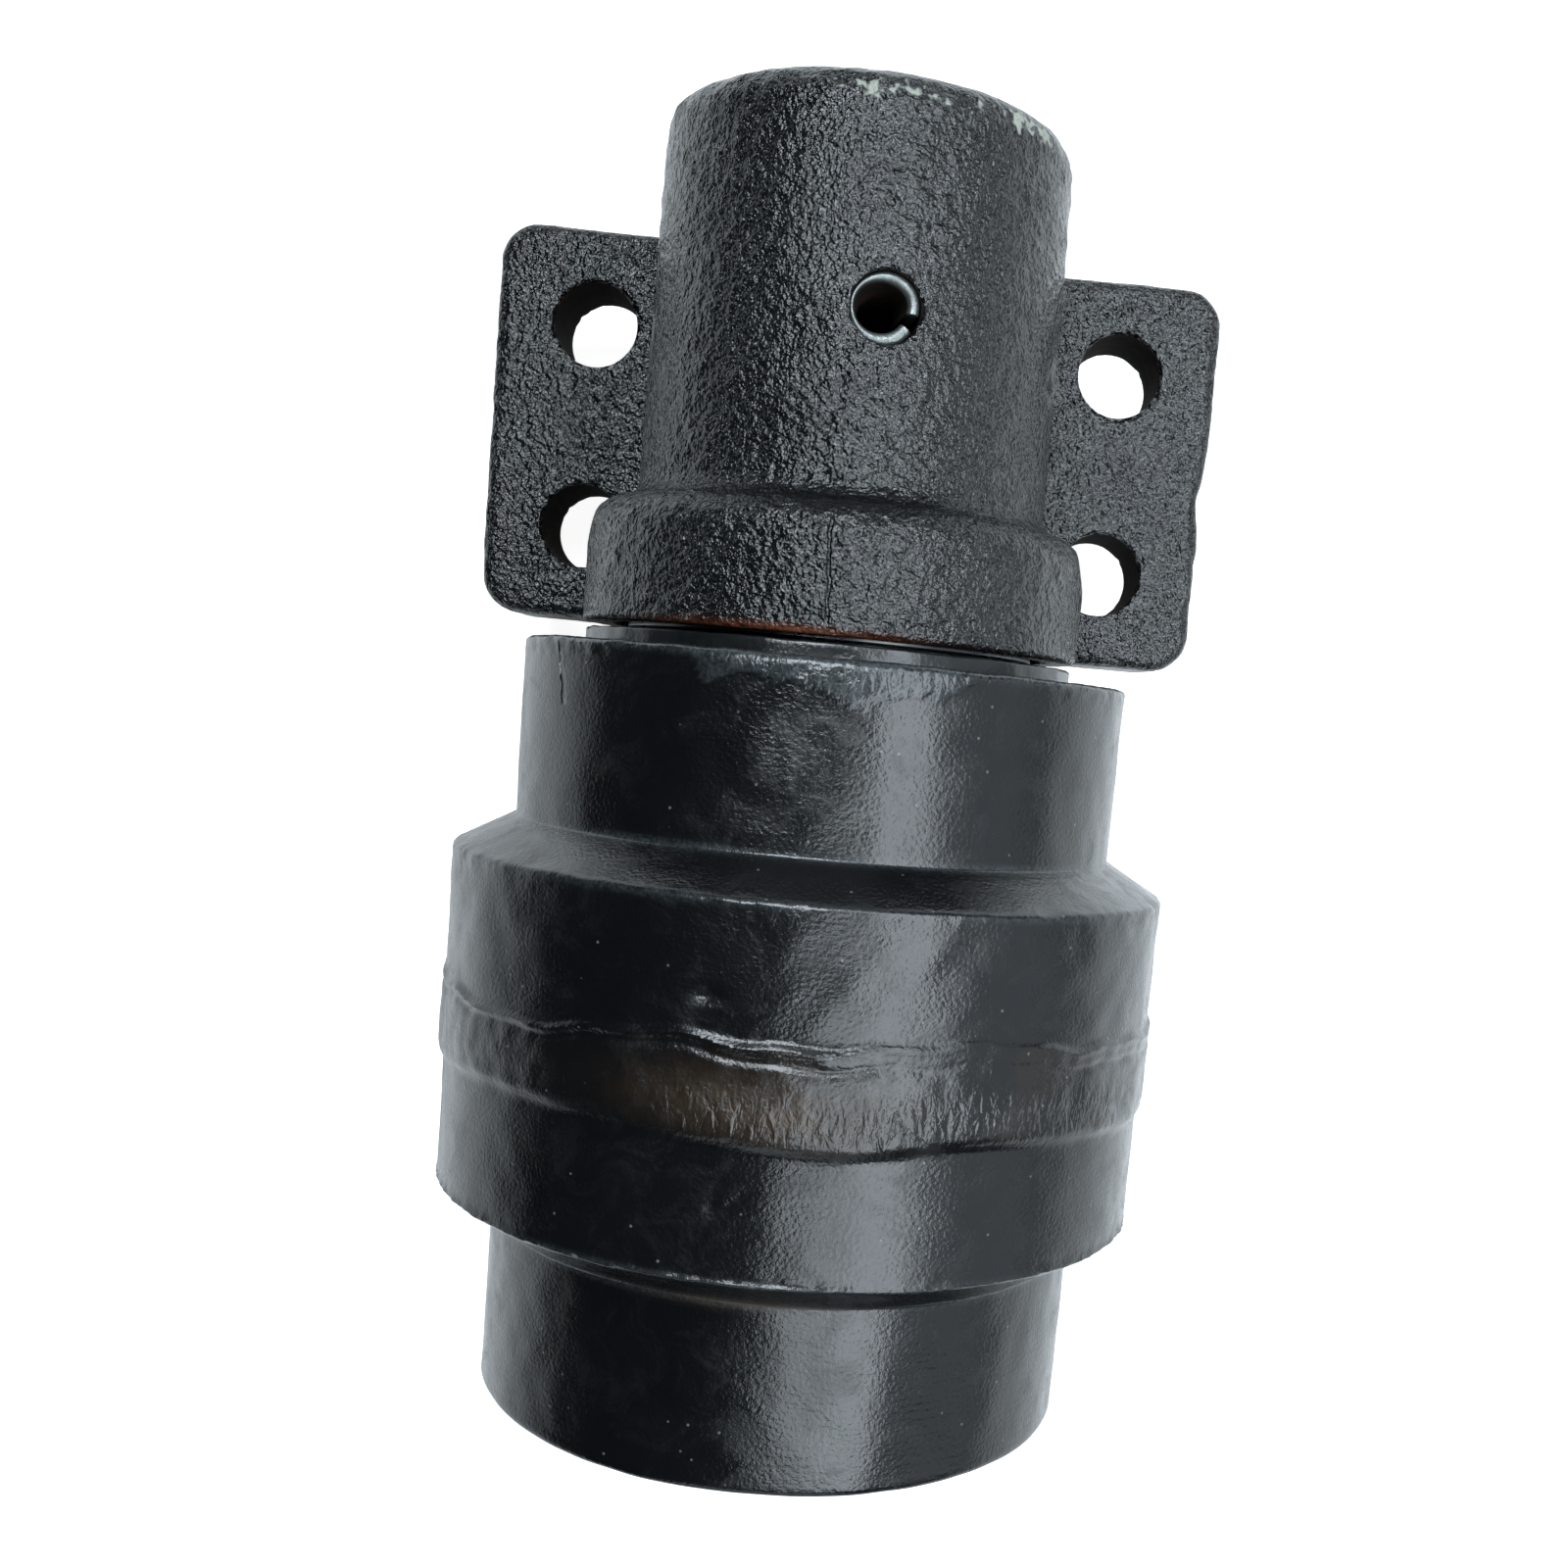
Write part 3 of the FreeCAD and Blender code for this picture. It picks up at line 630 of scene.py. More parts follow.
@dataclass(frozen=True)
class CastEnamel(Finish):
    """Black alkyd enamel sprayed over sand-cast ductile iron.

    Half-gloss paint follows the sand grain, so a highlight breaks into blotches of the grain's
    size; the paint is thin on rims, where it chips to pale filler, and rust bleeds from the
    seal gap.
    """

    name: str = "black_enamel_on_sand_cast_iron"
    grain_mm: float = 1.7
    fine_mm: float = 0.8
    chip_mm: float = 1.7
    film: str = "#060708"
    film_light: str = "#0b0d0e"
    dust: str = "#3d4446"
    filler: str = "#82867d"
    rust: str = "#5f2c0c"
    scores: tuple[Score, ...] = (
        Score((0.5, 15.5), (-0.2, 41.0), 0.75, 0.35),
        Score((14.4, -1.0), (1.4, 8.0), 0.45, 0.1),
        Score((16.5, 1.2), (5.5, 7.6), 0.4, 0.1),
        Score((13.0, -3.3), (0.6, 6.7), 0.4, 0.1),
    )

    def lay(self, tree: bpy.types.NodeTree) -> bpy.types.Node:
        """Film colour by cloudiness, chips and rust by the piece's marks, and two grains of bump.

        Args:
            tree: node tree that gets the nodes.

        Returns:
            The Principled shader.
        """
        add = partial(add_node, tree)
        place = add("TexCoord").outputs["Object"]
        cloud = add("TexNoise", {
            "Vector": place, "Scale": per_metre(14.0), "Detail": 3.0, "Roughness": 0.6,
        })
        film = add(
            "Mix", {0: cloud, 6: linear(self.film), 7: linear(self.film_light)}, data_type="RGBA"
        )
        grain = add(
            "TexNoise", {"Vector": place, "Scale": per_metre(self.grain_mm), "Roughness": 0.45}
        )
        fine = add("TexNoise", {"Vector": place, "Scale": per_metre(self.fine_mm)})
        specks = add("TexVoronoi", {"Vector": place, "Scale": per_metre(5.0)})
        speck_spot = add("MapRange", {"Value": specks, 1: 0.05, 2: 0.09, 3: 0.5, 4: 0.0})
        dusted = add("Mix", {0: speck_spot, 6: film, 7: linear(self.dust)}, data_type="RGBA")
        chip_mark = add("Attribute", attribute_name="chips")
        chip_noise = add(
            "TexNoise", {"Vector": place, "Scale": per_metre(self.chip_mm), "Detail": 1.5}
        )
        chip_sum = add("Math", {0: chip_mark, 1: chip_noise}, operation="ADD")
        chipped = add("MapRange", {"Value": chip_sum, 1: 0.98, 2: 1.1})
        bare = add("Mix", {0: chipped, 6: dusted, 7: linear(self.filler)}, data_type="RGBA")
        rust_mark = add("Attribute", attribute_name="rust")
        rust_amount = add("Math", {0: rust_mark, 1: cloud}, operation="MULTIPLY")
        rusty = add("Mix", {0: rust_amount, 6: bare, 7: linear(self.rust)}, data_type="RGBA")
        groove = deepest(tree, place, self.scores)
        scored = add("Mix", {0: groove, 6: rusty, 7: linear(GROOVE_TONE)}, data_type="RGBA")
        smooth_mark = add("Attribute", attribute_name="worn_flat")
        depth = add("MapRange", {"Value": smooth_mark, 3: 1.0, 4: 0.25})
        grain_height = add("Math", {0: grain, 1: depth}, operation="MULTIPLY")
        coarse_bump = add("Bump", {"Height": grain_height, "Distance": 0.0008})
        fine_bump = add("Bump", {"Height": fine, "Distance": 0.0005, "Normal": coarse_bump})
        chip_bump = add(
            "Bump", {"Height": chipped, "Distance": 0.00025, "Normal": fine_bump}, invert=True
        )
        groove_bump = add(
            "Bump", {"Height": groove, "Distance": 0.0004, "Normal": chip_bump}, invert=True
        )
        gloss = add("MapRange", {"Value": cloud, 1: 0.3, 2: 0.7, 3: 0.13, 4: 0.21})
        dull = add("Math", {0: chipped, 1: rust_amount}, operation="MAXIMUM")
        roughness = add("Mix", {0: dull, 2: gloss, 3: 0.75})
        return add("BsdfPrincipled", {
            "Base Color": scored, "Roughness": roughness, "IOR": 1.5, "Normal": groove_bump,
        })


@dataclass(frozen=True)
class TurnedEnamel(Finish):
    """Black alkyd enamel sprayed over a forged and turned steel shell.

    The film levels out to a broad soft highlight with a faint spray grain; tool lines show
    where it is thin, and a brown tint where it is starved over the forging's fold.
    """

    name: str = "black_enamel_on_turned_steel"
    spray_mm: float = 0.75
    crinkle_mm: float = 1.5
    tool_pitch_mm: float = 0.9
    film: str = "#050607"
    film_light: str = "#0a0b0d"
    dust: str = "#5a5f5e"
    # pale grey, mixed in as painted highlight lines along fillets and rounded edges, and as haze on
    # the peeled patch
    haze_and_highlight: str = "#34393b"
    tint: str = "#4a3a28"
    scores: tuple[Score, ...] = (Score((48.2, 46.6), (45.9, 58.5), 1.0, 0.3),)

    def lay(self, tree: bpy.types.NodeTree) -> bpy.types.Node:
        """Cloudy film, dust specks, brown tint by the piece's mark, painted highlight lines and
        haze, spray grain and tool lines.

        Args:
            tree: node tree that gets the nodes.

        Returns:
            The Principled shader.
        """
        add = partial(add_node, tree)
        place = add("TexCoord").outputs["Object"]
        cloud = add("TexNoise", {
            "Vector": place, "Scale": per_metre(22.0), "Detail": 4.0, "Roughness": 0.6,
        })
        film = add(
            "Mix", {0: cloud, 6: linear(self.film), 7: linear(self.film_light)}, data_type="RGBA"
        )
        specks = add("TexVoronoi", {"Vector": place, "Scale": per_metre(4.5)})
        speck_spot = add("MapRange", {"Value": specks, 1: 0.035, 2: 0.075, 3: 0.7, 4: 0.0})
        dusted = add("Mix", {0: speck_spot, 6: film, 7: linear(self.dust)}, data_type="RGBA")
        tint_mark = add("Attribute", attribute_name="rust")
        mottle = add("TexNoise", {
            "Vector": place, "Scale": per_metre(3.0), "Detail": 4.0, "Roughness": 0.65,
        })
        tint_amount = add("Math", {0: tint_mark, 1: mottle}, operation="MULTIPLY")
        tinted = add("Mix", {0: tint_amount, 6: dusted, 7: linear(self.tint)}, data_type="RGBA")
        chip_mark = add("Attribute", attribute_name="chips")
        chip_sum = add("Math", {0: chip_mark, 1: mottle}, operation="ADD")
        chipped = add("MapRange", {"Value": chip_sum, 1: 1.05, 2: 1.12, 4: 0.7})
        worn = add("Mix", {0: chipped, 6: tinted, 7: linear(self.dust)}, data_type="RGBA")
        # painted highlight lines along fillets and edges, and haze on the peeled patch, by the
        # piece's mark
        haze_and_highlight_mark = add("Attribute", attribute_name="haze_and_highlight")
        spray = add("TexNoise", {"Vector": place, "Scale": per_metre(self.spray_mm)})
        haze_and_highlight_grain = add("MapRange", {"Value": spray, 1: 0.35, 2: 0.65, 3: 0.25})
        haze_and_highlight_amount = add("Math", {0: haze_and_highlight_mark, 1: haze_and_highlight_grain}, operation="MULTIPLY")
        hazed_and_highlit = add("Mix", {0: haze_and_highlight_amount, 6: worn, 7: linear(self.haze_and_highlight)}, data_type="RGBA")
        groove = deepest(tree, place, self.scores)
        scored = add("Mix", {0: groove, 6: hazed_and_highlit, 7: linear(GROOVE_TONE)}, data_type="RGBA")
        crinkle_mark = add("Attribute", attribute_name="crinkle")
        long_place = add("Mapping", {"Vector": place, "Scale": (1.0, 0.42, 1.0)})
        crinkle = add("TexNoise", {
            "Vector": long_place, "Scale": per_metre(self.crinkle_mm), "Distortion": 0.6,
        })
        crinkle_height = add("Math", {0: crinkle_mark, 1: crinkle}, operation="MULTIPLY")
        ring_place = add("Mapping", {"Vector": place, "Scale": (0.02, 1.0, 0.02)})
        tool_lines = add("TexNoise", {
            "Vector": ring_place, "Scale": per_metre(self.tool_pitch_mm), "Detail": 1.0,
        })
        spray_bump = add("Bump", {"Height": spray, "Distance": 0.0001})
        tool_bump = add("Bump", {"Height": tool_lines, "Distance": 0.00003, "Normal": spray_bump})
        crinkle_bump = add(
            "Bump", {"Height": crinkle_height, "Distance": 0.0006, "Normal": tool_bump}
        )
        groove_bump = add(
            "Bump", {"Height": groove, "Distance": 0.0005, "Normal": crinkle_bump}, invert=True
        )
        smudges = add("TexNoise", {
            "Vector": place, "Scale": per_metre(9.0), "Detail": 5.0, "Roughness": 0.7,
            "Distortion": 1.0,
        })
        smudged = add("MapRange", {"Value": smudges, 1: 0.48, 2: 0.68, 4: 0.14})
        even_gloss = add("MapRange", {"Value": cloud, 1: 0.3, 2: 0.7, 3: 0.18, 4: 0.24})
        gloss = add("Math", {0: even_gloss, 1: smudged}, operation="ADD")
        dull = add("Math", {0: chipped, 1: tint_amount}, operation="MAXIMUM")
        roughness = add("Mix", {0: dull, 2: gloss, 3: 0.65})
        return add("BsdfPrincipled", {
            "Base Color": scored, "Roughness": roughness, "IOR": 1.5, "Normal": groove_bump,
        })


@dataclass(frozen=True)
class BareMetal(Finish):
    """A metal as its maker left it: turned, ground, plated, phosphated, moulded or rolled.

    The sheen comes from the metal; lines of the tool or grit stretch it along the lay, and
    patches of oil or oxide vary its gloss.
    """

    metal: str = "#9a9c9b"
    patch: str = "#6f6f6d"
    roughness: float = 0.35
    grit_mm: float = 0.4
    patch_mm: float = 8.0
    lay_scale: tuple[float, float, float] = (1.0, 1.0, 1.0)
    relief_mm: float = 0.02
    metallic: float = 1.0

    def lay(self, tree: bpy.types.NodeTree) -> bpy.types.Node:
        """Patchy metal colour and gloss, with the tool's lines as bump.

        Args:
            tree: node tree that gets the nodes.

        Returns:
            The Principled shader.
        """
        add = partial(add_node, tree)
        place = add("TexCoord").outputs["Object"]
        patches = add("TexNoise", {
            "Vector": place, "Scale": per_metre(self.patch_mm), "Detail": 4.0,
            "Roughness": 0.6,
        })
        colour = add(
            "Mix", {0: patches, 6: linear(self.metal), 7: linear(self.patch)}, data_type="RGBA"
        )
        laid = add("Mapping", {"Vector": place, "Scale": self.lay_scale})
        grit = add("TexNoise", {"Vector": laid, "Scale": per_metre(self.grit_mm)})
        bump = add("Bump", {"Height": grit, "Distance": self.relief_mm / METRE})
        gloss = add("MapRange", {
            "Value": patches, 1: 0.3, 2: 0.7, 3: self.roughness, 4: self.roughness + 0.15,
        })
        return add("BsdfPrincipled", {
            "Base Color": colour, "Metallic": self.metallic, "Roughness": gloss,
            "Normal": bump,
        })


@dataclass(frozen=True)
class SprayedShaft(BareMetal):
    """Ground alloy steel whose open end was sprayed black together with the bracket.

    Half-gloss enamel hides the end face, with the facing tool's rings still showing; the steel
    stays bright where the bore shields it.
    """

    film: str = "#08090a"
    spray_end_mm: float = -50.0
    ring_pitch_mm: float = 1.1

    def lay(self, tree: bpy.types.NodeTree) -> bpy.types.Node:
        """Ground steel, mixed to black enamel with facing rings past the end of the spray.

        Args:
            tree: node tree that gets the nodes.

        Returns:
            The Principled shader.
        """
        add = partial(add_node, tree)
        shader = super().lay(tree)
        place = add("TexCoord").outputs["Object"]
        parts = add("SeparateXYZ", {"Vector": place})
        start = self.spray_end_mm / METRE
        sprayed = add(
            "MapRange", {"Value": parts.outputs["Y"], 1: start, 2: start + 0.002, 3: 1.0, 4: 0.0}
        )
        steel = shader.inputs["Base Color"].links[0].from_socket
        colour = add("Mix", {0: sprayed, 6: steel, 7: linear(self.film)}, data_type="RGBA")
        metallic = add("MapRange", {"Value": sprayed, 3: self.metallic, 4: 0.0})
        centred = add("Mapping", {"Vector": place, "Location": (0.0, 0.0, -SPIN_HEIGHT / METRE)})
        rings = add("TexWave", {
            "Vector": centred, "Scale": per_metre(self.ring_pitch_mm) / 20.0,
            "Distortion": 0.4,
        }, wave_type="RINGS", rings_direction="Y")
        bump = add("Bump", {
            "Height": rings, "Distance": 0.00003,
            "Normal": shader.inputs["Normal"].links[0].from_socket,
        })
        tree.links.new(colour.outputs[2], shader.inputs["Base Color"])
        tree.links.new(metallic.outputs[0], shader.inputs["Metallic"])
        tree.links.new(bump.outputs[0], shader.inputs["Normal"])
        return shader


@dataclass(frozen=True)
class PatchedFinish(Finish):
    """Two tones in patches over a fine grain, with one gloss all over."""

    base: str
    patch: str
    patch_mm: float
    grain_mm: float
    relief_mm: float
    shine: Mapping[str, float]
    patch_noise: tuple[float, float] = (4.0, 0.65)
    grain_detail: float = 1.0
    cover: tuple[float, float, float, float] | None = None

    def lay(self, tree: bpy.types.NodeTree) -> bpy.types.Node:
        """Mixes the tones by a noise, spread over the cover's range where it has one.

        Args:
            tree: node tree that gets the nodes.

        Returns:
            The Principled shader.
        """
        add = partial(add_node, tree)
        place = add("TexCoord").outputs["Object"]
        detail, roughness = self.patch_noise
        share = add("TexNoise", {
            "Vector": place, "Scale": per_metre(self.patch_mm), "Detail": detail,
            "Roughness": roughness,
        })
        if self.cover:
            share = add("MapRange", {"Value": share, **dict(enumerate(self.cover, 1))})
        tone = add(
            "Mix", {0: share, 6: linear(self.base), 7: linear(self.patch)}, data_type="RGBA"
        )
        grain = add("TexNoise", {
            "Vector": place, "Scale": per_metre(self.grain_mm), "Detail": self.grain_detail,
        })
        bump = add("Bump", {"Height": grain, "Distance": self.relief_mm / METRE})
        return add("BsdfPrincipled", {"Base Color": tone, "Normal": bump, **self.shine})


# Ductile iron, drilled and bored, oiled and left bare inside its holes. Its nearly black brown
# is painted shade on the hole walls, a low specular level keeps their reflections away, and
# the brown patches are a little rust.
SHADED_DRILLED_IRON = PatchedFinish(
    "drilled_ductile_iron_with_painted_shade", "#15110e", "#3a2212", patch_mm=5.0, grain_mm=0.6, relief_mm=0.05,
    shine={"Roughness": 0.85, "Specular IOR Level": 0.15}, cover=(0.5, 0.8, 0.0, 1.0),
)
# Turned steel under a thin overspray of the black enamel: a greyish, satin lip in streaks.
OVERSPRAYED_STEEL = PatchedFinish(
    "oversprayed_turned_steel", "#181b1c", "#090b0c", patch_mm=6.0, grain_mm=0.8, relief_mm=0.06,
    shine={"Roughness": 0.22}, grain_detail=2.0, cover=(0.35, 0.65, 0.15, 0.75),
)
# Moulded nitrile rubber: black, oily satin with a slight bloom and a very fine mould grain.
NITRILE_RUBBER = PatchedFinish(
    "moulded_nitrile_rubber", "#131313", "#232322", patch_mm=5.0, grain_mm=0.4, relief_mm=0.01,
    shine={"Roughness": 0.48, "IOR": 1.52}, patch_noise=(3.0, 0.55),
)


@dataclass(frozen=True)
class StudioPaper(Finish):
    """Matt white paper of the studio floor, with a barely seen fibre tone."""

    name: str = "white_studio_paper"
    light: str = "#f4f4f3"
    sheet: str = "#dededd"
    fibre: str = "#d4d4d2"
    glow: float = 1.0
    dim_glow: float = 0.08

    def lay(self, tree: bpy.types.NodeTree) -> bpy.types.Node:
        """White sheet lit from behind for the eye, and dimmer for what reflects it.

        Args:
            tree: node tree that gets the nodes.

        Returns:
            The Principled shader.
        """
        add = partial(add_node, tree)
        place = add("TexCoord").outputs["Object"]
        fibres = add("TexNoise", {
            "Vector": place, "Scale": per_metre(30.0), "Detail": 3.0, "Roughness": 0.6,
        })
        colour = add(
            "Mix", {0: fibres, 6: linear(self.sheet), 7: linear(self.fibre)}, data_type="RGBA"
        )
        ray = add("LightPath")
        glow = add(
            "MapRange", {"Value": ray.outputs["Is Camera Ray"], 3: self.dim_glow, 4: self.glow}
        )
        return add("BsdfPrincipled", {
            "Base Color": colour, "Roughness": 0.9, "Emission Color": linear(self.light),
            "Emission Strength": glow,
        })


# ---- bracket and what it carries --------------------------------------------------------


@dataclass
class BracketCasting:
    """Cast boss, collar and four-bolt plate, drilled and bored."""

    plate_corner: float = 8.0
    plate_edge: float = 2.5
    plate_thickness: float = 24.0
    plate_half_length: float = 40.5
    bolt_spacing: tuple[float, float] = (112.0, 42.0)
    bolt_hole: float = 8.75
    boss_end_radius: float = 39.4
    boss_root_radius: float = 40.4
    boss_edge: float = 6.5
    collar_radius: float = 49.5
    collar_length: float = 24.0
    collar_edge: float = 6.5
    collar_foot: float = 4.0
    face_edge: float = 1.0
    plate_blend: float = 2.5
    bore: float = 25.01
    housing: float = 43.0
    housing_depth: float = 10.9
    pin_hole: float = 6.5
    pin_y: float = -16.0
    pin_tilt: float = -8.5
    drill_edge: float = 0.7
    foot_edge: float = 0.8
    housing_edge: float = 0.3
    pin_edge: float = 0.4
    fine_step: float = 1.0
    coarse_step: float = 1.6
    grain_height: float = 0.045
    lump_height: float = 0.13

    def __post_init__(self) -> None:
        """Reads the casting's outer box."""
        self.low, self.high = node_box("bracket")
        self.collar_start = self.high[1] - self.collar_length

    def distance(self, x: np.ndarray, y: np.ndarray, z: np.ndarray) -> np.ndarray:
        """Signed distance to the casting: drafted boss and collar of revolution and a rounded
        plate, joined with fillets, less the bores and holes.

        Args:
            x: across the plate.
            y: along the spin axis.
            z: above the mounting face.

        Returns:
            Distance in millimetres, below zero inside.
        """
        out = np.hypot(x, z - SPIN_HEIGHT)
        share = (y - self.low[1]) / (self.collar_start - self.low[1])
        boss_radius = self.boss_end_radius + share * (self.boss_root_radius - self.boss_end_radius)
        boss = round_common(out - boss_radius, self.low[1] - y, self.boss_edge)
        collar = round_common(out - self.collar_radius, self.collar_start - y, self.collar_edge)
        barrel = round_union(boss, collar, self.collar_foot)
        barrel = round_common(barrel, y - self.high[1], self.face_edge)
        side_x = np.abs(x) - (self.high[0] - self.plate_corner)
        side_y = np.abs(y) - (self.plate_half_length - self.plate_corner)
        outline = np.hypot(np.maximum(side_x, 0.0), np.maximum(side_y, 0.0))
        outline = outline + np.minimum(np.maximum(side_x, side_y), 0.0) - self.plate_corner
        plate = round_common(outline, z - self.plate_thickness, self.plate_edge)
        plate = round_common(plate, -z, self.foot_edge)
        body = round_union(barrel, plate, self.plate_blend)
        body = np.maximum(body, -z)
        for reach in self.bolt_reaches(x, y):
            body = round_common(body, self.bolt_hole - reach, self.drill_edge)
        body = round_common(body, self.bore - out, self.drill_edge)
        pocket = np.maximum(out - self.housing, (self.high[1] - self.housing_depth) - y)
        body = round_common(body, -pocket, self.housing_edge)
        return round_common(body, self.pin_hole - self.pin_reach(x, y, z), self.pin_edge)

    def bolt_reaches(self, x: np.ndarray, y: np.ndarray) -> list[np.ndarray]:
        """Distance from each bolt hole's axis.

        Args:
            x: across the plate.
            y: along the spin axis.

        Returns:
            Four arrays of distances in millimetres.
        """
        half_x, half_y = self.bolt_spacing[0] / 2.0, self.bolt_spacing[1] / 2.0
        signs = ((-1.0, -1.0), (-1.0, 1.0), (1.0, -1.0), (1.0, 1.0))
        return [np.hypot(x - i * half_x, y - j * half_y) for i, j in signs]

    def pin_reach(self, x: np.ndarray, y: np.ndarray, z: np.ndarray) -> np.ndarray:
        """Distance from the spring pin's axis, which leans about the spin axis.

        Args:
            x: across the plate.
            y: along the spin axis.
            z: above the mounting face.

        Returns:
            Distance in millimetres.
        """
        lean = math.radians(self.pin_tilt)
        across = x * math.cos(lean) - (z - SPIN_HEIGHT) * math.sin(lean)
        return np.hypot(across, y - self.pin_y)

    def grid(self) -> tuple[np.ndarray, np.ndarray, np.ndarray]:
        """Grid places: fine across the boss and above the plate, coarser elsewhere.

        Returns:
            Places along x, y and z in millimetres.
        """
        edge = 53.0
        outer = np.arange(edge, self.high[0] + 3.0, 1.4)
        across = np.concatenate([-outer[::-1], np.arange(-edge + 1.0, edge, self.fine_step), outer])
        along = np.arange(self.low[1] - 1.5, self.high[1] + 2.0, self.fine_step)
        up = np.concatenate([
            np.arange(-1.7, self.plate_thickness - 3.0, self.coarse_step),
            np.arange(self.plate_thickness - 2.5, self.high[2] + 2.0, self.fine_step),
        ])
        return across + 0.013, along + 0.017, up + 0.011

    def as_cast(self, points: np.ndarray) -> np.ndarray:
        """Share of cast skin: 1 on it, 0 on the bored, drilled and faced surfaces.

        Args:
            points: rows of x, y, z in millimetres.

        Returns:
            One share for each row.
        """
        x, y, z = points.T
        out = np.hypot(x, z - SPIN_HEIGHT)
        skin = ramp(self.high[1] - y, 0.3, 2.5) * ramp(z, 0.3, 2.0)
        skin *= ramp(out, self.bore + 1.0, self.bore + 4.0)
        inner = (y > self.high[1] - self.housing_depth - 0.5) & (out < self.housing + 0.8)
        skin = np.where(inner, 0.0, skin)
        for reach in self.bolt_reaches(x, y):
            skin *= ramp(reach, self.bolt_hole + 0.2, self.bolt_hole + 1.4)
        return skin * ramp(self.pin_reach(x, y, z), self.pin_hole + 0.2, self.pin_hole + 1.6)

    def as_cut(self, points: np.ndarray) -> np.ndarray:
        """Tells the walls of the bolt holes, pin hole, bore and seal housing.

        Args:
            points: rows of x, y, z in millimetres.

        Returns:
            True for each row on such a wall.
        """
        x, y, z = points.T
        out = np.hypot(x, z - SPIN_HEIGHT)
        near_bolt = np.minimum.reduce(self.bolt_reaches(x, y))
        cut = (near_bolt < self.bolt_hole + 0.12) & (z < self.plate_thickness + 2.0)
        cut |= (out < self.bore + 0.5) | ((out < self.housing + 0.2) & (y > self.collar_start))
        return cut | (self.pin_reach(x, y, z) < self.pin_hole + 0.15)

    def build(self) -> bpy.types.Object:
        """Skins the distance field, then lifts the cast skin by sand grain and broad lumps.

        Returns:
            The casting with its wear marks.
        """
        points, faces = surface_net(self.distance, self.grid())
        normal = slope_of(self.distance, points)
        normal /= np.maximum(np.linalg.norm(normal, axis=1, keepdims=True), TINY)
        x, y, z = points.T
        turn = np.degrees(np.arctan2(x, z - SPIN_HEIGHT))
        out = np.hypot(x, z - SPIN_HEIGHT)
        skin = self.as_cast(points)
        on_boss = ramp(out, 36.0, 38.5) * ramp(z, 24.0, 30.0)
        on_collar = ramp(y, self.collar_start - 3.0, self.collar_start + 3.0) * on_boss
        flat = hump(turn, 7.0, 8.0) * ramp(y, -56.0, -50.0) * ramp(-y, 14.0, 22.0) * on_boss
        flat = np.maximum(flat, 0.85 * hump(turn, 14.0, 9.0) * hump(y, -4.0, 9.0) * on_boss)
        coarse = Waves(4.2, 11, spread=0.22).at(points)
        lumps = Waves(15.0, 12).at(points)
        broad = Waves(38.0, 13).at(points)
        wrinkle = Waves(3.6, 14, spread=0.2).at(points)
        crest = np.maximum(wrinkle, 0.0) ** 1.5
        height = self.grain_height * coarse * (1.0 + 0.9 * on_boss) * (1.0 - 0.8 * flat)
        height += self.lump_height * (0.45 * lumps + 0.4 * broad)
        height += 0.09 * crest * on_collar * hump(turn, -2.0, 26.0)
        rim = hump(y, self.low[1] + 2.0, 4.0) * on_boss
        height += 0.15 * rim * Waves(5.5, 15).at(points)
        nick = hump(x, -77.3, 2.2) * hump(y, 4.0, 5.0) * ramp(z, 6.0, 14.0)
        height -= 1.3 * nick
        moved = points + (skin * height)[:, None] * normal
        moved[:, 2] = np.maximum(moved[:, 2], 0.0)
        near_edge = hump(y, self.low[1] + 4.5, 3.0) * on_boss
        chips = near_edge * (0.6 * hump(turn, -50.0, 26.0) + 0.52 * hump(turn, -3.0, 20.0)) * skin
        chips = np.maximum(chips, 0.3 * near_edge * skin)
        rust = hump(y, self.high[1], 0.9) * hump(turn, 10.0, 24.0) * ramp(out, 46.0, 49.0)
        marks = {"chips": chips, "rust": 1.7 * rust, "worn_flat": flat}
        # cut walls take the second finish, the iron darkened by painted shade
        cut = np.min(self.as_cut(points)[faces], axis=1)
        return make_piece("bracket_casting", moved, faces.tolist(), 50.0, marks, cut)


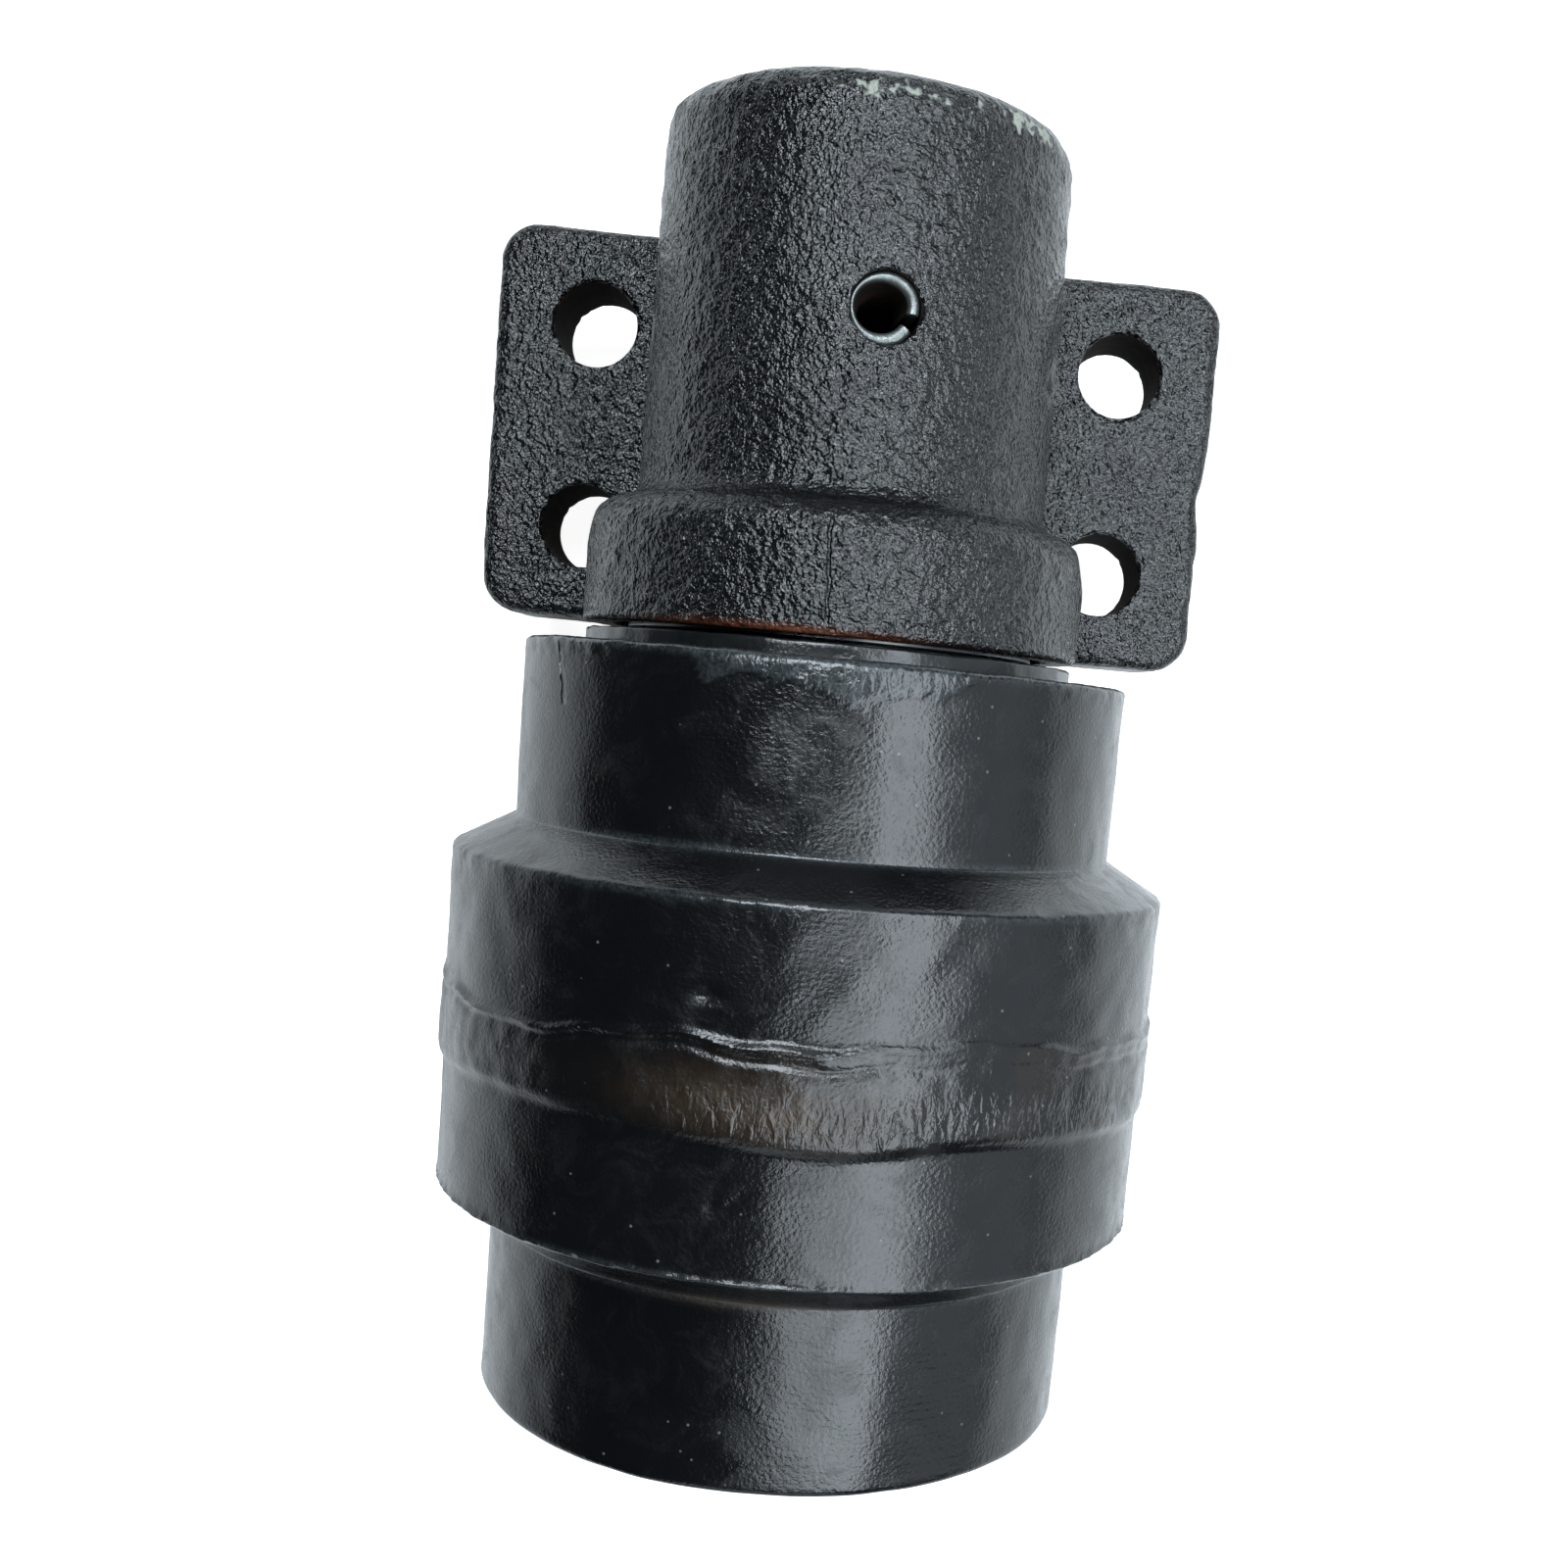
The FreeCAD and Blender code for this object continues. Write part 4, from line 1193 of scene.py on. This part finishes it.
@dataclass
class SpringPin:
    """Rolled spring pin with its slot and turned-in lips."""

    radius: float = 6.5
    wall: float = 2.5
    slot: float = 3.0
    y: float = -16.0
    tilt: float = -8.5
    slot_turn: float = 160.0
    foot: float = 6.0
    top: float = 88.4

    def build(self) -> bpy.types.Object:
        """Carries a rounded wall section round the pin's axis from lip to lip.

        The section is a rounded rectangle of the wall by the length, thinned from inside by the
        drift at its top. Both lips end in rows that shrink to the wall's middle, so they are
        closed and rounded.

        Returns:
            The pin.
        """
        gap = math.asin(self.slot / 2.0 / self.radius) + 0.05
        core = np.linspace(gap, 2.0 * np.pi - gap, 90)
        turn = np.concatenate([[core[0], core[0]], core, [core[-1], core[-1]]])
        shrink = np.ones(len(turn))
        shrink[[0, -1]] = 0.02
        shrink[[1, -2]] = 0.75
        swing = np.concatenate([[0.0, -0.02], np.zeros(len(core)), [0.02, 0.0]])
        length = self.top - self.foot
        half_wall = self.wall / 2.0
        edge = half_wall - 0.1
        corner = np.linspace(0.0, np.pi / 2.0, 9)
        across = half_wall - edge + edge * np.cos(corner)
        upward = length / 2.0 - edge + edge * np.sin(corner)
        body = np.linspace(-1.0, 1.0, 14)[1:-1]
        side = np.full(len(body), half_wall)
        wall_u = np.concatenate([across, -across[::-1], -side, -across, across[::-1], side])
        wall_v = np.concatenate([
            upward, upward[::-1], -body * (length / 2.0 - edge), -upward, -upward[::-1],
            body * (length / 2.0 - edge),
        ])
        near_lip = np.minimum(turn - gap, 2.0 * np.pi - gap - turn)
        curl = -0.35 * np.exp(-((near_lip / 0.35) ** 2))
        v = wall_v[:, None] * (1.0 - 0.02 * (1.0 - shrink[None, :]))
        angle = math.radians(self.slot_turn) + (turn + swing)[None, :]
        drifted = 0.76 - 0.27 * np.cos(angle) - 0.13 * np.cos(2.0 * angle) + 0.08 * np.sin(angle)
        share = 1.0 + (drifted - 1.0) * ramp(v, length / 2.0 - 9.0, length / 2.0 - 1.0)
        u = wall_u[:, None] * shrink[None, :] * share
        ring = self.radius - half_wall * share + u + curl[None, :]
        dent = 0.12 * np.sin(3.0 * angle + 1.0) * ramp(v, length / 2.0 - 2.0, length / 2.0)
        local_x = ring * np.cos(angle)
        local_y = ring * np.sin(angle)
        height = v + self.foot + length / 2.0 + dent
        lean = math.radians(self.tilt)
        rise = height - SPIN_HEIGHT
        x = local_x * math.cos(lean) + rise * math.sin(lean)
        z = -local_x * math.sin(lean) + rise * math.cos(lean) + SPIN_HEIGHT
        points = np.stack([x, self.y + local_y, z], axis=-1).reshape(-1, 3)
        faces = woven_faces(len(wall_u), len(turn), True, False).tolist()
        rows = np.arange(len(wall_u)) * len(turn)
        faces.append(rows.tolist())
        faces.append((rows[::-1] + len(turn) - 1).tolist())
        around = len(turn) - 1
        # the pin's inner wall takes the second finish, the iron darkened by painted shade
        inside = np.arange(2 * len(corner) - 1, 2 * len(corner) + 12)
        finish = np.zeros(len(faces))
        finish[(inside[:, None] * around + np.arange(around)[None, :]).reshape(-1)] = 1
        return make_piece("spring_pin_rolled", points, faces, 60.0, finish_of_face=finish)


# ---- roller -----------------------------------------------------------------------------


@dataclass
class RollerShell:
    """Forged shell: two treads, the flange between them and the machined bore."""

    tread_radius: float = 60.0
    inner_tread_length: float = 34.5
    shoulder_length: float = 6.5
    flange_length: float = 66.0
    outer_shoulder_length: float = 7.0
    tread_edge: float = 1.5
    flange_inner_edge: float = 1.2
    flange_outer_edge: float = 0.6
    root: float = 0.8
    fold_from_flange: float = 24.3
    turned_band_from_flange: float = 41.3
    fold_dent: tuple[float, float] = (16.6, 11.2)
    band_nick: tuple[float, float] = (53.2, 8.2)
    band_height: float = 0.5
    step_depth: float = 0.45
    lip_height: float = 0.45
    furrow_depth: float = 0.4
    peel_height: float = 0.14
    edge_roughness: float = 0.09
    seat_ring_radius: float = 46.0
    mouth_radius: float = 41.0
    mouth_chamfer: float = 1.5
    circlip_groove: tuple[float, float] = (2.6, 1.7)
    chamber_radius: float = 39.0
    cavity_radius: float = 31.0
    bushing_seat: float = 28.0
    bushing_flange: tuple[float, float] = (33.0, 3.0)
    hidden_step: float = 16.0
    columns: int = 460

    def __post_init__(self) -> None:
        """Reads the shell's outer box."""
        low, high = node_box("roller_shell")
        self.start = float(low[1])
        self.end = float(high[1])
        self.flange_radius = float(high[0] - low[0]) / 2.0
        self.shoulder_foot = self.start + self.inner_tread_length
        self.flange_start = self.shoulder_foot + self.shoulder_length
        self.flange_end = self.flange_start + self.flange_length
        self.fold_y = self.flange_start + self.fold_from_flange

    def profile(self) -> np.ndarray:
        """Closed profile: outside from neck to end, then back through mouth and bore.

        Returns:
            Rows of y and radius.
        """
        seat, face = (float(corner[1]) for corner in node_box("end_cover"))
        outer_start, outer_end = (float(corner[1]) for corner in node_box("outer_bushing"))
        inner_start, inner_end = (float(corner[1]) for corner in node_box("inner_bushing"))
        groove_end = face + self.circlip_groove[0]
        groove = self.mouth_radius + self.circlip_groove[1]
        flange, flange_thickness = self.bushing_flange
        outer_flange = outer_end - flange_thickness
        inner_flange = inner_start + flange_thickness
        tread, rim = self.tread_radius, self.flange_radius
        outside = (
            (self.start, self.seat_ring_radius, 0.0, 3.0),
            (self.start, tread, self.tread_edge, 0.6),
            (self.start + 9.0, tread, 0.0, 0.95),
            (self.shoulder_foot, tread, self.root, 0.8),
            (self.flange_start, rim, self.flange_inner_edge, 0.9),
            (self.fold_y - 3.5, rim, 0.0, 0.5),
            (self.fold_y + 5.0, rim, 0.0, 0.9),
            (self.flange_end, rim, self.flange_outer_edge, 0.8),
            (self.flange_end + self.outer_shoulder_length, tread, self.root, 1.0),
            (self.end, tread, self.tread_edge, 3.0),
            (self.end, self.mouth_radius + self.mouth_chamfer, 0.3, 2.0),
            (self.end - self.mouth_chamfer, self.mouth_radius, 0.0, 2.0),
        )
        mouth = (
            (groove_end, self.mouth_radius), (groove_end, groove), (face, groove),
            (face, self.mouth_radius), (seat, self.mouth_radius), (seat, self.chamber_radius),
        )
        bore = (
            (outer_flange, self.chamber_radius), (outer_flange, self.bushing_seat),
            (outer_start, self.bushing_seat), (outer_start, self.cavity_radius),
            (inner_end, self.cavity_radius), (inner_end, self.bushing_seat),
            (inner_flange, self.bushing_seat), (inner_flange, flange),
            (inner_start, flange), (inner_start, self.seat_ring_radius),
        )
        hidden = [Corner(y, r, step=self.hidden_step) for y, r in bore]
        return turned_rows([Corner(*corner) for corner in outside + mouth] + hidden)

    def fold_line(self, turn: np.ndarray) -> tuple[np.ndarray, np.ndarray]:
        """Places along Y of the forging fold and of the step to the turned band below it.

        Args:
            turn: each place's turn about the spin axis, in radians.

        Returns:
            The fold's y and the step's y at each place.
        """
        around = np.stack([np.cos(turn) * 40.0, np.sin(turn) * 40.0, 0.0 * turn], axis=-1)
        wander = Waves(34.0, 21).at(around)
        ripple = Waves(9.0, 22).at(around)
        fold = self.fold_y + 0.8 * wander + 0.4 * ripple
        other = Waves(46.0, 23).at(around)
        step = self.flange_start + self.turned_band_from_flange + 1.0 * other
        return fold, step

    def dents(self, y: np.ndarray, degrees: np.ndarray) -> tuple[np.ndarray, np.ndarray]:
        """Two small dents in the flange, each a product of bell curves along and round it.

        Args:
            y: each place along the spin axis.
            degrees: each place's turn about the spin axis.

        Returns:
            Height of the dent by the fold with its raised rim, and depth of the band's nick.
        """
        arc = self.flange_radius * np.radians(degrees)
        dent_y = self.flange_start + self.fold_dent[0]
        dent_arc = self.flange_radius * math.radians(self.fold_dent[1])
        notch = hump(y, dent_y, 1.3) * hump(arc, dent_arc, 2.4)
        rim = hump(y, dent_y + 2.0, 0.7) * hump(arc, dent_arc - 1.0, 2.4)
        nick_y = self.flange_start + self.band_nick[0]
        nick_arc = self.flange_radius * math.radians(self.band_nick[1])
        nick = hump(y, nick_y, 1.3) * hump(arc, nick_arc, 1.0)
        slant = y - 0.8 * (arc - nick_arc + 3.5)
        chevron = hump(slant, nick_y - 1.2, 0.8) * hump(arc, nick_arc - 3.5, 2.4)
        return -0.75 * notch + 0.35 * rim, 0.45 * np.maximum(nick, 0.8 * chevron)

    def build(self) -> bpy.types.Object:
        """Carries the profile round and lifts it by the forging's relief.

        The flange bulges between the fold line and the step; the fold has a raised lip and a
        furrow below it; the band past the step is turned back. Two small dents and the
        wrinkled paint at the tread's edge are added, and a slow waviness overall.

        Returns:
            The shell with its marks.
        """
        rows = self.profile()
        points, turn, normals = revolve(rows, self.columns)
        y = points[..., 1]
        degrees = np.degrees((turn + np.pi) % (2.0 * np.pi) - np.pi)
        radius = rows[:, 1:2] + 0.0 * turn
        outside = ramp(radius, self.tread_radius - 6.0, self.tread_radius - 1.0)
        on_flange = ramp(y, self.flange_start - 1.0, self.flange_start + 1.0)
        on_flange = on_flange * ramp(-y, -self.flange_end - 0.5, -self.flange_end + 0.8)
        fold, step = self.fold_line(turn)
        rough = Waves(5.0, 31).at(points)
        broad = Waves(24.0, 32).at(points)
        facing = 0.35 + 0.65 * ramp(Waves(60.0, 33).at(points), -0.6, 0.8)
        facing = np.maximum(facing, hump(degrees, 2.0, 30.0))
        band = ramp(y - fold, -0.6, 1.0) * ramp(step - y, -0.2, 1.8)
        height = on_flange * band * (self.band_height + 0.08 * broad + 0.05 * rough)
        lip = hump(y - fold, 0.3, 0.7) * facing
        furrow = hump(y - fold, 2.0 + 0.05 * (18.0 - np.clip(degrees, -18.0, 18.0)), 0.7) * facing
        height += on_flange * (self.lip_height * lip - self.furrow_depth * furrow)
        height -= on_flange * self.step_depth * ramp(y - step, -0.2, 0.6)
        height += 0.05 * on_flange * ramp(fold - y, 0.0, 3.0) * Waves(11.0, 34).at(points)
        dent, nick = self.dents(y, degrees)
        height += dent
        height -= nick
        height += 0.045 * broad + 0.03 * Waves(9.0, 35).at(points)
        near_start = hump(y, self.start + 1.6, 1.9)
        height += 0.06 * near_start * Waves(3.4, 36).at(points)
        facing_peel = ramp(degrees, -30.0, -20.0) * ramp(-degrees, -26.0, -16.0)
        ragged = 0.9 * Waves(11.0, 37).at(points)
        ragged += 0.5 * Waves(3.6, 40).at(points)
        peel_line = self.start + 1.0 + 4.6 * facing_peel + ragged * (0.3 + 0.7 * facing_peel)
        peel = ramp(peel_line - y, -0.3, 0.3)
        peel *= ramp(radius, self.tread_radius - 2.0, self.tread_radius)
        height += self.peel_height * peel * ramp(y, self.start, self.start + 0.8)
        run = Waves(2.6, 38, stretch=(1.0, 5.0, 1.0)).at(points)
        run_reach = hump(y, self.start + 16.0, 12.0)
        height += 0.035 * np.maximum(run, 0.0) * hump(degrees, 5.0, 5.0) * run_reach
        edge_wear = hump(y, self.flange_end - 0.5, 1.2)
        edge_wear = edge_wear + 0.7 * hump(y, self.flange_start + 1.0, 1.8)
        height += self.edge_roughness * edge_wear * Waves(2.8, 39).at(points)
        moved = points + (outside * height)[..., None] * normals
        tint = 0.62 * on_flange * band * hump(degrees, 2.0, 16.0) * hump(y, step - 7.0, 6.0)
        tint = tint + 0.12 * on_flange * band * ramp(broad, 0.2, 1.6)
        cone_foot = self.flange_end + self.outer_shoulder_length
        tint = tint + 0.7 * outside * hump(y, cone_foot, 1.0) * hump(degrees, 2.0, 16.0)
        worn = hump(y, self.flange_end, 0.9) + 0.8 * hump(y, self.start + 1.5, 1.2)
        chips = 0.5 * outside * worn
        chips = chips + 0.3 * outside * hump(y, self.flange_start + 1.2, 1.0)
        # pale grey mark: painted highlight lines along the tread's top edge, the root fillets and
        # the flange's edges, and haze on the peeled patch
        haze_and_highlight = 0.55 * peel * facing_peel + 0.5 * hump(y, self.start + 0.7, 0.8)
        for share, edge, width in (
            (0.35, self.flange_end, 0.7), (0.45, self.flange_start + 0.4, 0.8),
            (0.6, self.shoulder_foot - 0.3, 0.7), (0.4, cone_foot + 0.3, 0.7),
        ):
            haze_and_highlight = haze_and_highlight + share * hump(y, edge, width)
        lower_band = band * hump(y, step - 5.5, 4.5)
        swirls = ramp(degrees, -66.0, -56.0) * ramp(-degrees, -24.0, -10.0)
        crinkle = on_flange * lower_band * (0.2 + 0.8 * swirls) + 0.4 * peel
        run_film = 0.14 * hump(degrees, 4.0, 7.0) * hump(y, self.start + 15.0, 9.0)
        crinkle = crinkle + run_film * outside
        marks = {
            "rust": tint, "chips": chips, "haze_and_highlight": outside * haze_and_highlight, "crinkle": outside * crinkle,
        }
        return make_turned("roller_forged_shell", moved, 35.0, marks)


@dataclass
class SealSeatRing:
    """Pressed-in ring whose lip fills the neck between bracket and roller."""

    bore: float = 43.0
    lip_radius: float = 48.6
    barrel_radius: float = 46.0
    lip_length: float = 2.8
    lip_edge: float = 0.5
    columns: int = 360

    def build(self) -> bpy.types.Object:
        """Carries the ring's profile round, with a slight ripple on its lip.

        Returns:
            The ring.
        """
        low, high = node_box("seal_seat_ring")
        rows = turned_rows([
            Corner(low[1], self.bore, 0.2, 2.0),
            Corner(low[1], self.lip_radius, self.lip_edge, 0.6),
            Corner(low[1] + self.lip_length, self.lip_radius, 0.0, 2.0),
            Corner(low[1] + self.lip_length, self.barrel_radius, 0.0, 3.0),
            Corner(high[1], self.barrel_radius, 0.0, 3.0),
            Corner(high[1], self.bore, 0.0, 3.0),
        ])
        points, turn, normals = revolve(rows, self.columns)
        lip = ramp(np.broadcast_to(rows[:, 1:2], turn.shape), 47.5, 48.5)
        ripple = Waves(7.0, 41).at(points)
        moved = points + (0.06 * lip * ripple)[..., None] * normals
        return make_turned("seal_seat_ring_turned", moved, 30.0)


@dataclass
class EndCover:
    """Turned cover with a dished face, a spot face and the filler hole."""

    outer: float = 40.95
    thickness: float = 7.0
    dish: float = 33.0
    dish_depth: float = 1.0
    spot: float = 12.0
    spot_depth: float = 3.0
    thread: float = 7.0
    ring_groove: float = 38.0
    ring_half: float = 1.5
    columns: int = 300

    def build(self) -> bpy.types.Object:
        """Carries the cover's profile round, with a slight waviness on its face.

        Returns:
            The cover, with the marks of its finish left at 0.
        """
        low, high = node_box("end_cover")
        face = float(high[1])
        seat = float(low[1])
        middle = (seat + face) / 2.0
        rows = turned_rows([
            Corner(seat, self.thread, 0.0, 6.0),
            Corner(face - self.spot_depth, self.thread, 0.4, 1.5),
            Corner(face - self.spot_depth, self.spot, 0.3, 1.5),
            Corner(face - self.dish_depth, self.spot, 0.5, 1.0),
            Corner(face - self.dish_depth, self.dish, 0.8, 0.8),
            Corner(face, self.dish + self.dish_depth, 0.5, 1.5),
            Corner(face, self.outer, 0.5, 2.0),
            Corner(middle + self.ring_half, self.outer, 0.2, 2.0),
            Corner(middle + self.ring_half, self.ring_groove, 0.0, 2.0),
            Corner(middle - self.ring_half, self.ring_groove, 0.0, 2.0),
            Corner(middle - self.ring_half, self.outer, 0.2, 2.0),
            Corner(seat, self.outer, 0.4, 8.0),
        ])
        points, turn, normals = revolve(rows, self.columns)
        ripple = Waves(14.0, 42).at(points)
        on_face = ramp(points[..., 1], face - 1.6, face - 0.9)
        moved = points + (0.03 * on_face * ripple)[..., None] * normals
        unmarked = {mark: 0.0 * turn for mark in ("rust", "chips", "haze_and_highlight", "crinkle")}
        return make_turned("end_cover_turned", moved, 40.0, unmarked)


# ---- studio -----------------------------------------------------------------------------


@dataclass(frozen=True)
class SoftPanel:
    """One soft light panel: where its middle is, what it faces, and how bright its face is."""

    name: str
    place: tuple[float, float, float]
    size: tuple[float, float]
    radiance: float
    target: tuple[float, float, float] = (0.0, 0.07, 0.05)
    tone: str = "#ffffff"

    def build(self) -> None:
        """Makes the panel; its power is pi times its radiance times its area."""
        lamp = bpy.data.lights.new(self.name, "AREA")
        lamp.shape = "RECTANGLE"
        lamp.size, lamp.size_y = self.size
        lamp.energy = math.pi * self.radiance * self.size[0] * self.size[1]
        lamp.color = linear(self.tone)[:3]
        panel = bpy.data.objects.new(self.name, lamp)
        bpy.context.scene.collection.objects.link(panel)
        panel.location = self.place
        way = np.array(self.target) - np.array(self.place)
        way = way / np.linalg.norm(way)
        side = np.cross((0.0, 1.0, 0.0), -way)
        side = side / np.linalg.norm(side)
        up = np.cross(-way, side)
        turn = np.stack([side, up, -way], axis=1)
        pitch = math.atan2(turn[2, 1], turn[2, 2])
        roll = -math.asin(float(np.clip(turn[2, 0], -1.0, 1.0)))
        yaw = math.atan2(turn[1, 0], turn[0, 0])
        panel.rotation_euler = Euler((pitch, roll, yaw))


@dataclass
class Studio:
    """Plain pale floor, soft panels, dim surroundings and the camera."""

    camera_place: tuple[float, float, float] = (-9.35, 53.09, 403.65)
    camera_turn: tuple[float, float, float] = (-7.580, -1.216, -174.755)
    lens: float = 39.503
    shift: tuple[float, float] = (-0.0794, 0.0947)
    floor_half: float = 6000.0
    floor_gap: float = 1.3
    dim: float = 0.015
    panels: tuple[SoftPanel, ...] = (
        SoftPanel("overhead_softbox", (-0.62, 0.10, 1.05), (0.46, 1.7), 7.5, tone="#e9f3fb"),
        SoftPanel("roller_end_softbox", (-0.2, 0.49, 1.1), (0.32, 0.55), 5.5, tone="#e9f3fb"),
        SoftPanel("boss_front_softbox", (0.1, -0.42, 1.1), (0.6, 0.58), 15.0, tone="#e9f3fb"),
        SoftPanel("left_window", (-1.6, 0.1, 0.75), (1.3, 2.2), 1.0, tone="#e6f1fb"),
        SoftPanel("boss_end_panel", (0.0, -1.6, 0.9), (1.4, 0.9), 1.2, tone="#e9f3fb"),
        SoftPanel("cover_end_panel", (0.0, 1.9, 0.8), (1.4, 0.9), 1.2, tone="#e9f3fb"),
    )

    def build_floor(self) -> None:
        """Lays one flat sheet under the roller's lowest point."""
        low = METRE * float(CAD_BOX[0][2]) - self.floor_gap
        half = self.floor_half
        signs = ((-1.0, -1.0), (1.0, -1.0), (1.0, 1.0), (-1.0, 1.0))
        corners = np.array([(i * half, j * half, low) for i, j in signs])
        mesh = bpy.data.meshes.new("studio_floor")
        mesh.from_pydata(corners / METRE, [], [(0, 1, 2, 3)])
        floor = bpy.data.objects.new("studio_floor", mesh)
        bpy.context.scene.collection.objects.link(floor)
        mesh.materials.append(StudioPaper().material())

    def build_world(self) -> None:
        """Dim surroundings for reflections, and a pale backdrop straight behind the object."""
        world = bpy.data.worlds.new("studio_surroundings")
        bpy.context.scene.world = world
        world.use_nodes = True
        tree = world.node_tree
        tree.nodes.clear()
        add = partial(add_node, tree)
        ray = add("LightPath")
        dim = add("Background", {"Color": linear("#e8edf2"), "Strength": self.dim})
        pale = add("Background", {"Color": linear("#f4f4f4"), "Strength": 1.0})
        both = add("MixShader", {0: ray.outputs["Is Camera Ray"], 1: dim, 2: pale})
        add("OutputWorld", {"Surface": both})

    def build_camera(self) -> None:
        """Sets the camera almost overhead, with the spin axis running down the picture."""
        data = bpy.data.cameras.new("camera")
        data.sensor_width = 36.0
        data.lens = self.lens
        data.shift_x, data.shift_y = self.shift
        data.clip_start = 0.01
        camera = bpy.data.objects.new("camera", data)
        bpy.context.scene.collection.objects.link(camera)
        camera.location = [value / METRE for value in self.camera_place]
        camera.rotation_euler = Euler([math.radians(value) for value in self.camera_turn])
        bpy.context.scene.camera = camera

    def build(self) -> None:
        """Builds floor, surroundings, panels and camera."""
        self.build_floor()
        self.build_world()
        for panel in self.panels:
            panel.build()
        self.build_camera()
        bpy.context.scene.view_settings.view_transform = "Standard"


# ---- assembly ---------------------------------------------------------------------------


# Finish of each CAD node that stays in view. Ground steel gleams along its turned lay, zinc is
# pale and bright, phosphate is a dull grey black, copper is warm, chilled iron is lapped to a
# mirror, and bored bronze is a soft yellow.
PHOSPHATED_STEEL = BareMetal(
    "phosphated_spring_steel", "#3c3e3f", "#2a2a29", 0.5, grit_mm=0.5, patch_mm=5.0,
)
ZINC_PLATED_STEEL = BareMetal(
    "zinc_plated_steel", "#b4b6b8", "#8f9192", 0.32, grit_mm=0.5, patch_mm=4.0, relief_mm=0.01,
)
NODE_FINISHES: tuple[tuple[Finish, tuple[str, ...]], ...] = (
    (
        SprayedShaft("ground_alloy_steel_sprayed_at_its_end", "#a3a6a8", roughness=0.28),
        ("shaft",),
    ),
    (
        BareMetal(
            "ground_alloy_steel", "#a3a6a8", "#7d7c78", 0.28, grit_mm=0.3, patch_mm=12.0,
            lay_scale=(0.1, 1.0, 0.1), relief_mm=0.01,
        ),
        ("thrust_plate",),
    ),
    (PHOSPHATED_STEEL, ("cover_circlip", "thrust_plate_lock_washers")),
    (ZINC_PLATED_STEEL, ("filler_plug", "thrust_plate_bolts")),
    (
        BareMetal(
            "rolled_soft_copper", "#c98a66", "#8d5a3e", grit_mm=0.5, patch_mm=5.0, relief_mm=0.01,
        ),
        ("plug_washer",),
    ),
    (NITRILE_RUBBER, ("shaft_o_ring", "fixed_seal_toric", "rotating_seal_toric", "cover_o_ring")),
    (
        BareMetal(
            "lapped_chilled_iron", "#8b8d8f", "#6a6a69", 0.22, grit_mm=0.3, patch_mm=9.0,
            relief_mm=0.005,
        ),
        ("fixed_seal_ring", "rotating_seal_ring"),
    ),
    (
        BareMetal(
            "bored_leaded_bronze", "#b08a4f", "#8b6a3a", 0.33, grit_mm=0.5, patch_mm=7.0,
            lay_scale=(0.1, 1.0, 0.1), relief_mm=0.01,
        ),
        ("inner_bushing", "outer_bushing"),
    ),
)


@dataclass
class CarrierRoller:
    """The whole object: new pieces where relief matters, dressed CAD nodes elsewhere."""

    # Oiled spring steel: rolled and hardened, it shines in streaks under a thin dark oil.
    pin_steel: BareMetal = BareMetal(
        "oiled_spring_steel", "#7d8483", "#43423f", 0.3, grit_mm=0.7, patch_mm=2.5,
        relief_mm=0.12, metallic=0.8,
    )

    def build_bracket(self) -> None:
        """Builds the casting, its cut walls in bare iron darkened by painted shade, and the spring
        pin.
        """
        enamel, iron, steel = (
            finish.material() for finish in (CastEnamel(), SHADED_DRILLED_IRON, self.pin_steel)
        )
        casting, pin = BracketCasting().build(), SpringPin().build()
        place_piece(casting, Body.FIXED, [enamel, iron], ["bracket"])
        place_piece(pin, Body.FIXED, [steel, iron], ["spring_pin"])

    def build_roller(self) -> None:
        """Builds the shell, its seat ring and its cover."""
        enamel, overspray = TurnedEnamel().material(), OVERSPRAYED_STEEL.material()
        paint, ring_steel = Slot.ROLLER_PAINT, Slot.SEAT_RING_STEEL
        for part, slot, material, node in (
            (RollerShell(), paint, enamel, "roller_shell"),
            (SealSeatRing(), ring_steel, overspray, "seal_seat_ring"),
            (EndCover(), paint, enamel, "end_cover"),
        ):
            place_piece(part.build(), Body.SPINNING, [material], [node])

    def build(self) -> None:
        """Builds the pieces and dresses the CAD nodes that stay in view."""
        self.build_bracket()
        self.build_roller()
        for finish, nodes in NODE_FINISHES:
            material = finish.material()
            for node in nodes:
                dress_node(node, material)


def main() -> None:
    """Builds the object and the studio round it."""
    logging.basicConfig(level=logging.INFO, format="%(message)s")
    CarrierRoller().build()
    Studio().build()


if __name__ == "__main__":
    main()
